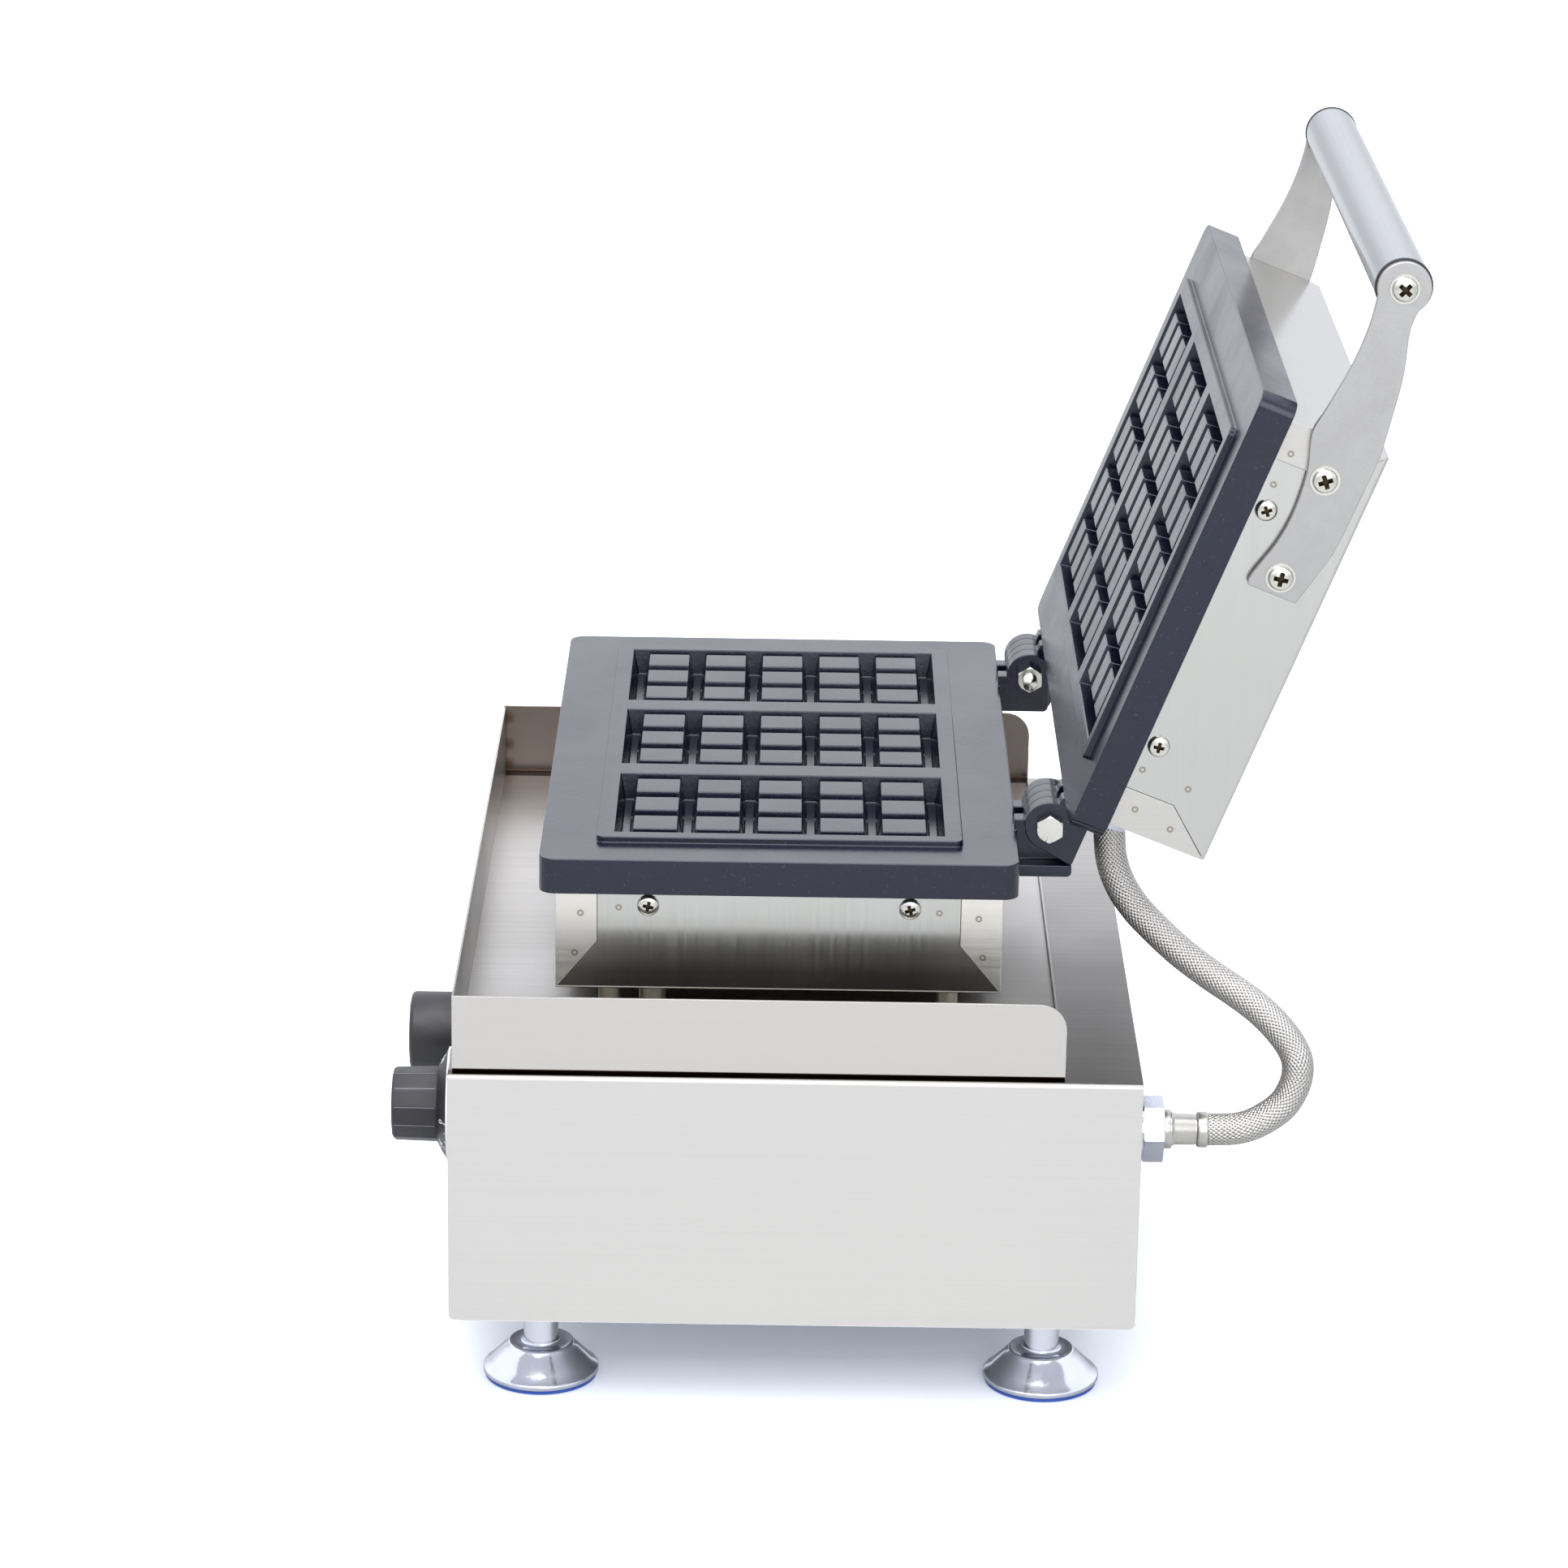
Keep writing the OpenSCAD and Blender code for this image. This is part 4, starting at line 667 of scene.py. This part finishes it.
def hose():
    """A closed tube whose surface follows the strands. turn and along say, at each corner of a face, how
    far round the hose and how many mm along it that corner lies; the braid's material reads them."""
    radius, ridge, around = 8.15, 0.9, 168  # mm, mm, and points round the hose
    line, s = smooth_line(ROUTE, 0.45)
    tan = np.gradient(line, axis=0)
    tan /= np.linalg.norm(tan, axis=1)[:, None]
    u = np.cross(tan[0], (0, 0, 1.0))
    u /= np.linalg.norm(u)
    us = []
    for ahead in tan:
        u = u - ahead * (u @ ahead)
        u /= np.linalg.norm(u)
        us.append(u)
    us = np.array(us)
    ws = np.cross(tan, us)
    th = np.arange(around) / around
    TH, S = np.meshgrid(th, s)
    a, b = STRANDS * (TH + S / LEAD), STRANDS * (TH - S / LEAD)
    over = np.where((np.floor(a) + np.floor(b)) % 2 == 0, 1.0, -1.0)

    def height(mine, other, side):
        """How high one set of strands stands, in ridges: rounded strands, and -0.4 between them."""
        off = np.abs(mine - np.floor(mine) - 0.5)
        wave = side * LIFT * np.cos(math.pi * (other - np.floor(other) - 0.5))
        return np.where(off < WIDE / 2, wave - 0.22 * (2 * off / WIDE) ** 2, -0.4)

    r = radius + ridge * np.maximum(height(a, b, over), height(b, a, -over))
    ang = 2 * math.pi * TH[..., None]
    xyz = line[:, None, :] + r[..., None] * (np.cos(ang) * us[:, None, :] + np.sin(ang) * ws[:, None, :])
    xyz = xyz.reshape(-1, 3) / 1000
    xyz[:, 1] -= BODY_FRONT
    n, m = S.shape
    i, j = np.meshgrid(np.arange(n - 1), np.arange(m), indexing="ij")
    j2 = (j + 1) % m
    quads = np.stack([i * m + j, i * m + j2, (i + 1) * m + j2, (i + 1) * m + j], -1).reshape(-1, 4)
    me = D.meshes.new("braided_hose")
    me.from_pydata(xyz.tolist(), [], quads.tolist() + [list(range(m))[::-1], list(range((n - 1) * m, n * m))])
    turn = np.stack([j, j + 1, j + 1, j], -1).ravel() / m
    along = np.stack([s[i], s[i], s[i + 1], s[i + 1]], -1).ravel()
    for name, values in (("turn", np.concatenate([turn, th[::-1], th])),
                         ("along", np.concatenate([along, np.full(m, s[0]), np.full(m, s[-1])]))):
        at = me.attributes.new(name, "FLOAT", "CORNER")
        at.data.foreach_set("value", values.astype(np.float32))
    o = to_object("braided_hose", me, M["braid"])
    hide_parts("hose")
    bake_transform(o)


hose()


# Castings, sheets and fasteners with their edges broken
TAB_X = 0.18915  # metres: a heater box's faces further out than this are its lapped tabs
for node, width in (("lower_plate", 0.6), ("upper_plate", 0.6), ("housing", 0.35), ("spill_tray", 0.25)):
    dressed(node, width)
for node in ("lower_box", "upper_box"):
    box = dressed(node, 0.22)
    box.data.materials.append(M["tab_sheet"])
    for face in box.data.polygons:
        if abs(face.center.x) > TAB_X:
            face.material_index = 1
for node, width in (("arm_right", 0.5), ("arm_left", 0.5), ("handle_plugs", 0.5), ("mains_inlet", 0.4)):
    dressed(node, width)
for node in ("lower_box_screws", "upper_box_screws"):
    crossed_screws(node, 0.003, 0.002)
for node in ("arm_screws", "handle_screws"):
    crossed_screws(node, 0.004, 0.0025, 0.0008)
chamfered("hinge_nuts")
chamfered("hinge_bolts")
chamfered("hose_gland_nut", "y", 0.1)


def in_metres(pairs):
    return [(a / 1000, b / 1000) for a, b in pairs]


def turned(node, profile, mat=None):
    """A solid turned about the node's own Z or Y line, from (distance, radius) pairs in mm."""
    lo, hi = islands(node)[0]
    mid = (lo + hi) / 2
    upright = abs((hi.x - lo.x) - (hi.y - lo.y)) < 1e-4
    if upright:
        m = Matrix.Translation((mid.x, mid.y, 0)) @ Matrix.Rotation(-math.pi / 2, 4, "Y")
    else:
        m = Matrix.Translation((mid.x, lo.y, mid.z)) @ Matrix.Rotation(math.pi / 2, 4, "Z")
    me = placed(lathe(in_metres(profile), 96), node, m)
    o = to_object(node + "_turned", me, mat or NODES[node].data.materials[0])
    o.data.set_sharp_from_angle(angle=math.radians(40))
    stand_in(o, node)


FOOT = [(1.5, 8.0), (1.5, 28.9), (2.0, 29.6), (2.6, 30.0), (4.2, 30.0), (4.7, 29.6), (5.1, 28.9), (8.2, 25.9),
        (11.5, 22.6), (15.0, 19.2), (17.3, 17.2), (17.9, 16.9), (18.2, 16.3), (18.2, 15.6), (17.8, 15.0),
        (17.7, 10.6), (18.0, 9.8), (18.8, 9.2), (19.8, 9.0), (45.8, 9.0), (46.2, 8.6), (46.2, 5.4),
        (20.5, 5.4), (20.5, 8.0), (1.5, 8.0)]
FERRULE = [(-4.4, 6.0), (-4.4, 9.6), (-4.1, 10.0), (-3.6, 10.15), (-0.6, 10.1), (0.0, 9.7), (0.8, 8.5),
           (1.8, 8.05), (12.0, 7.95), (12.5, 7.7), (13.0, 7.7), (13.4, 8.6), (13.8, 9.1), (14.4, 9.25),
           (18.0, 9.25), (18.6, 9.1), (18.9, 8.8), (18.9, 6.0), (-4.4, 6.0)]
for corner in ("front_right", "front_left", "rear_right", "rear_left"):
    turned("foot_" + corner, FOOT)
turned("hose_ferrule", FERRULE, M["ferrule_metal"])


def seams():
    """Dark lines where the tabs lap over a box's side. Each end's lines mirror the other end's, and the
    upper box's the lower one's."""
    side_x, both_y, both_z, wide = 188.86, 331.0, 568.8, 0.28
    outline = ((73.0, 262.2), (73.0, 235.2), (53.6, 211.6))
    for name, body, place in (("lower_box_seams", "base", lambda x, y, z: (x, y, z)),
                              ("upper_box_seams", "lid", lambda x, y, z: opened(x, y, both_z - z))):
        bm = bmesh.new()
        for side in (-1, 1):
            for turn in (False, True):
                pts = [(both_y - y if turn else y, z) for y, z in outline]
                for (y0, z0), (y1, z1) in zip(pts, pts[1:]):
                    d = Vector((y1 - y0, z1 - z0)).normalized() * wide
                    off = Vector((-d.y, d.x))
                    if (off.x > 0) == turn:
                        off = -off
                    ring = ((y0, z0), (y1, z1), (y1 + off.x, z1 + off.y), (y0 + off.x, z0 + off.y))
                    slab(bm, [P(*place(side * side_x, y, z)) for y, z in ring], (-side * 0.00008, 0, 0))
        o = to_object(name, bm, M["seam"], False)
        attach(o, body)


seams()


# Knobs
def on_front(bm, x, name, mat):
    """A solid turned about X, laid along -Y from the body's front face at the knobs' height."""
    me = placed(bm, name, Matrix.Translation(P(x, 0, KNOB_Z)) @ Matrix.Rotation(-math.pi / 2, 4, "Z"))
    o = to_object(name, me, mat)
    o.data.set_sharp_from_angle(angle=math.radians(35))
    return o


def knobs():
    """The thermostat's skirt with its twelve-sided grip, and the timer's round knob."""
    profile = [(0.6, 0), (0.6, 14), (3.4, 14), (3.4, 28.9), (3.7, 29.5), (4.3, 29.7), (4.8, 29.5),
               (10.0, 20.6), (10.2, 19.9), (10.2, 0)]
    skirt = on_front(lathe(in_metres(profile), 96), THERMOSTAT_X, "skirt", M["black_plastic"])
    bm = bmesh.new()
    rings = []
    sides, per = 12, 8
    n = sides * per
    for y, r in ((9.6, 19.0), (11.0, 19.3), (31.6, 18.7), (33.0, 18.2), (33.7, 17.1), (33.9, 15.6),
                 (33.88, 13.0), (33.85, 0.01)):
        ring = []
        for k in range(n):
            a = 2 * math.pi * k / n + math.pi / sides
            off = (k % per) / per - 0.5
            flat = math.cos(math.pi / sides) / math.cos(2 * math.pi / sides * off)
            rr = r * (flat * 0.9 + 0.1) * 1.02
            ring.append(bm.verts.new(P(THERMOSTAT_X + rr * math.cos(a), -y, KNOB_Z + rr * math.sin(a))))
        rings.append(ring)
    for a, b in zip(rings, rings[1:]):
        for k in range(n):
            j = (k + 1) % n
            bm.faces.new((a[k], a[j], b[j], b[k]))
    bm.faces.new(rings[0])
    bm.faces.new(rings[-1])
    bmesh.ops.recalc_face_normals(bm, faces=bm.faces)
    bm.from_mesh(skirt.data)
    D.objects.remove(skirt)
    grip = to_object("thermostat_knob_whole", bm, M["black_plastic"])
    grip.data.set_sharp_from_angle(angle=math.radians(28))
    stand_in(grip, "thermostat_knob")
    # A thin pale line along each corner of the grip, which narrows by 0.6 mm from 11 to 31.6 mm: a painted
    # highlight where the corners catch the light
    bm = bmesh.new()
    for k in range(sides):
        a = 2 * math.pi * (k + 0.5) / sides
        ring = []
        for y, half in ((11.2, -0.13), (11.2, 0.13), (32.2, 0.13), (32.2, -0.13)):
            r = 19.3 * 1.02 - (y - 11.0) * 0.6 / 20.6 + 0.03
            ring.append(P(THERMOSTAT_X + r * math.cos(a) - half * math.sin(a), -y,
                          KNOB_Z + r * math.sin(a) + half * math.cos(a)))
        slab(bm, ring, (-math.cos(a) * 0.0002, 0, -math.sin(a) * 0.0002))
    edge = to_object("grip_edge_highlights", bm, M["painted_edge_highlight"], False)
    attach(edge, "thermostat_dial")
    profile = [(0.6, 0), (0.6, 18), (1.2, 21.6), (2.0, 22.0), (29.2, 22.0), (30.4, 21.6), (31.3, 20.5),
               (31.8, 18.0), (32.2, 11.0), (32.35, 5.0), (32.4, 0)]
    timer = on_front(lathe(in_metres(profile), 96), TIMER_X, "timer", M["black_plastic"])
    stand_in(timer, "timer_knob")


knobs()


# White marks of the dials
def number(text, a, r, y):
    """A number lying on the skirt at angle a from the top, its foot towards the middle."""
    curve = D.curves.new("number", "FONT")
    curve.body = text
    curve.size = 0.0048
    curve.extrude = 0.00006
    curve.align_x = "CENTER"
    curve.align_y = "CENTER"
    flat = D.objects.new("number", curve)
    me = D.meshes.new_from_object(flat)
    D.objects.remove(flat)
    slope = math.atan2(5.2, 8.9)  # the skirt's cone stands out by 5.2 mm over 8.9 mm
    stand = Matrix.Rotation(math.pi / 2 - slope, 4, "X")
    me.transform(Matrix.Translation(P(THERMOSTAT_X + r * math.sin(a), y, KNOB_Z + r * math.cos(a)))
                 @ Matrix.Rotation(a, 4, "Y") @ stand)
    o = to_object("dial_number_" + text, me, M["dial_ink"], False)
    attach(o, "thermostat_dial")


def dial_marks():
    """The skirt's ticks, its numbers by every third tick, its pale rim, and both knobs' pointers."""
    bm = bmesh.new()
    r_rim, r_in, y_rim, y_in = 29.5, 20.6, -4.8, -10.0  # the skirt's cone
    for k in range(25):
        a = math.radians(90 + 270 * k / 24)
        numbered = k % 3 == 0
        tall, half = (2.2, 0.3) if numbered else (1.2, 0.2)
        if numbered:
            number(str(10 * k), a, 24.6, y_rim + (y_in - y_rim) * 0.56 - 0.12)
        f1, f2 = 0.06, 0.06 + tall / (r_rim - r_in)
        ring = []
        for f, side in ((f1, -1), (f1, 1), (f2, 1), (f2, -1)):
            r = r_rim + (r_in - r_rim) * f
            y = y_rim + (y_in - y_rim) * f - 0.06
            ring.append(P(THERMOSTAT_X + r * math.sin(a) + side * half * math.cos(a), y,
                          KNOB_Z + r * math.cos(a) - side * half * math.sin(a)))
        slab(bm, ring, (-math.sin(a) * 0.00005, 0.00009, -math.cos(a) * 0.00005))
    o = to_object("dial_marks", bm, M["dial_ink"], False)
    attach(o, "thermostat_dial")
    rim = lathe(in_metres([(3.7, 29.6), (3.7, 29.9), (4.9, 29.9), (4.9, 29.45), (3.7, 29.6)]), 128)
    o = on_front(rim, THERMOSTAT_X, "dial_rim", M["dial_ink"])
    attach(o, "thermostat_dial")
    half = 0.7
    for x, y, far, body in ((THERMOSTAT_X, -33.9, 14.5, "thermostat_dial"),
                            (TIMER_X, -32.35, 16.0, "timer_dial")):
        bm = bmesh.new()
        ring = ((-half, far * 0.35), (half, far * 0.35), (half, far), (-half, far))
        slab(bm, [P(x + a, y - 0.05, KNOB_Z + b) for a, b in ring], (0, 0.0006, 0))
        o = to_object("pointer_" + body, bm, M["dial_ink"], False)
        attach(o, body)


dial_marks()


# Floor, lamps and world
def floor():
    """The ground: it takes the shadow near the body and fades into white away from it."""
    me = D.meshes.new("floor")
    me.from_pydata([(-12, -12, 0), (12, -12, 0), (12, 12, 0), (-12, 12, 0)], [], [(0, 1, 2, 3)])
    o = D.objects.new("floor", me)
    o.location.z = -0.0004
    bpy.context.scene.collection.objects.link(o)
    t = Tree("floor")
    d = t.n("BsdfDiffuse")
    e = t.n("Emission")
    e.inputs["Color"].default_value = (1, 1, 1, 1)
    lp = t.n("LightPath")
    grey = t.mix(lp.outputs["Is Camera Ray"], (0.86, 0.862, 0.862, 1), (0.79, 0.85, 0.95, 1))
    t.put(d.inputs["Color"], grey)
    at = t.n("SeparateXYZ")
    t.put(at.inputs[0], t.pos())
    half_x, half_y, mid_y = 0.245, 0.175, -0.048  # the body's outline on the floor, in metres
    out = t.math("MAXIMUM", t.math("SUBTRACT", t.math("ABSOLUTE", at.outputs[0]), half_x),
                 t.math("SUBTRACT", t.math("ABSOLUTE", t.math("ADD", at.outputs[1], -mid_y)), half_y))
    near = t.mul(lp.outputs["Is Camera Ray"], t.remap(out, -0.07, 0.13, 0.1, 0.95))
    far = t.mul(t.math("MAXIMUM", lp.outputs["Is Glossy Ray"], lp.outputs["Is Transmission Ray"]),
                t.remap(out, 1.2, 3.0, 0.0, 0.6))
    t.put(e.inputs["Strength"], t.math("ADD", near, far))
    a = t.n("AddShader")
    t.put(a.inputs[0], d)
    t.put(a.inputs[1], e)
    t.t.links.new(a.outputs[0], t.out.inputs[0])
    me.materials.append(t.mat)


floor()


def area(name, loc, target, size, power):
    """A square lamp that looks at target, with its side in metres and its power in watts."""
    data = D.lights.new(name, "AREA")
    data.energy = power
    data.shape = "SQUARE"
    data.size = size
    o = D.objects.new(name, data)
    o.location = loc
    o.rotation_euler = (Vector(target) - Vector(loc)).to_track_quat("-Z", "Y").to_euler()
    bpy.context.scene.collection.objects.link(o)


area("key", (1.3, -0.7, 2.5), (0, 0, 0.25), 1.8, 46)
area("top", (0.0, 0.3, 2.6), (0, 0, 0.2), 2.0, 30)
area("front_fill", (2.6, 0.6, 1.3), (0, 0, 0.25), 1.6, 22)


def world():
    """White to the camera; to what shines, a slightly blue sky that is brighter above the horizon."""
    w = D.worlds.new("world")
    bpy.context.scene.world = w
    w.use_nodes = True
    t = w.node_tree
    t.nodes.clear()

    def n(kind):
        return t.nodes.new("ShaderNode" + kind)

    def back(color, strength):
        b = n("Background")
        b.inputs["Color"].default_value = color
        b.inputs["Strength"].default_value = strength
        return b

    def either(fac, a, b):
        m = n("MixShader")
        for socket, v in zip(m.inputs, (fac, a, b)):
            t.links.new(v, socket)
        return m.outputs[0]

    rays = n("LightPath").outputs
    up = n("SeparateXYZ")
    t.links.new(n("TexCoord").outputs["Generated"], up.inputs[0])
    strength = n("MapRange")
    for k, x in zip(("From Min", "From Max", "To Min", "To Max"), (0.05, 0.3, 1.0, 1.7)):
        strength.inputs[k].default_value = x
    t.links.new(up.outputs[2], strength.inputs["Value"])
    soft = back((0.88, 0.94, 1.04, 1), 0.55)
    sky = back((0.965, 0.98, 1.04, 1), 1.0)
    white = back((1, 1, 1, 1), 1.0)
    t.links.new(strength.outputs[0], sky.inputs["Strength"])
    shown = either(rays["Is Glossy Ray"], soft.outputs[0], sky.outputs[0])
    t.links.new(either(rays["Is Camera Ray"], shown, white.outputs[0]), n("OutputWorld").inputs[0])


world()
bpy.context.scene.view_settings.view_transform = "Standard"
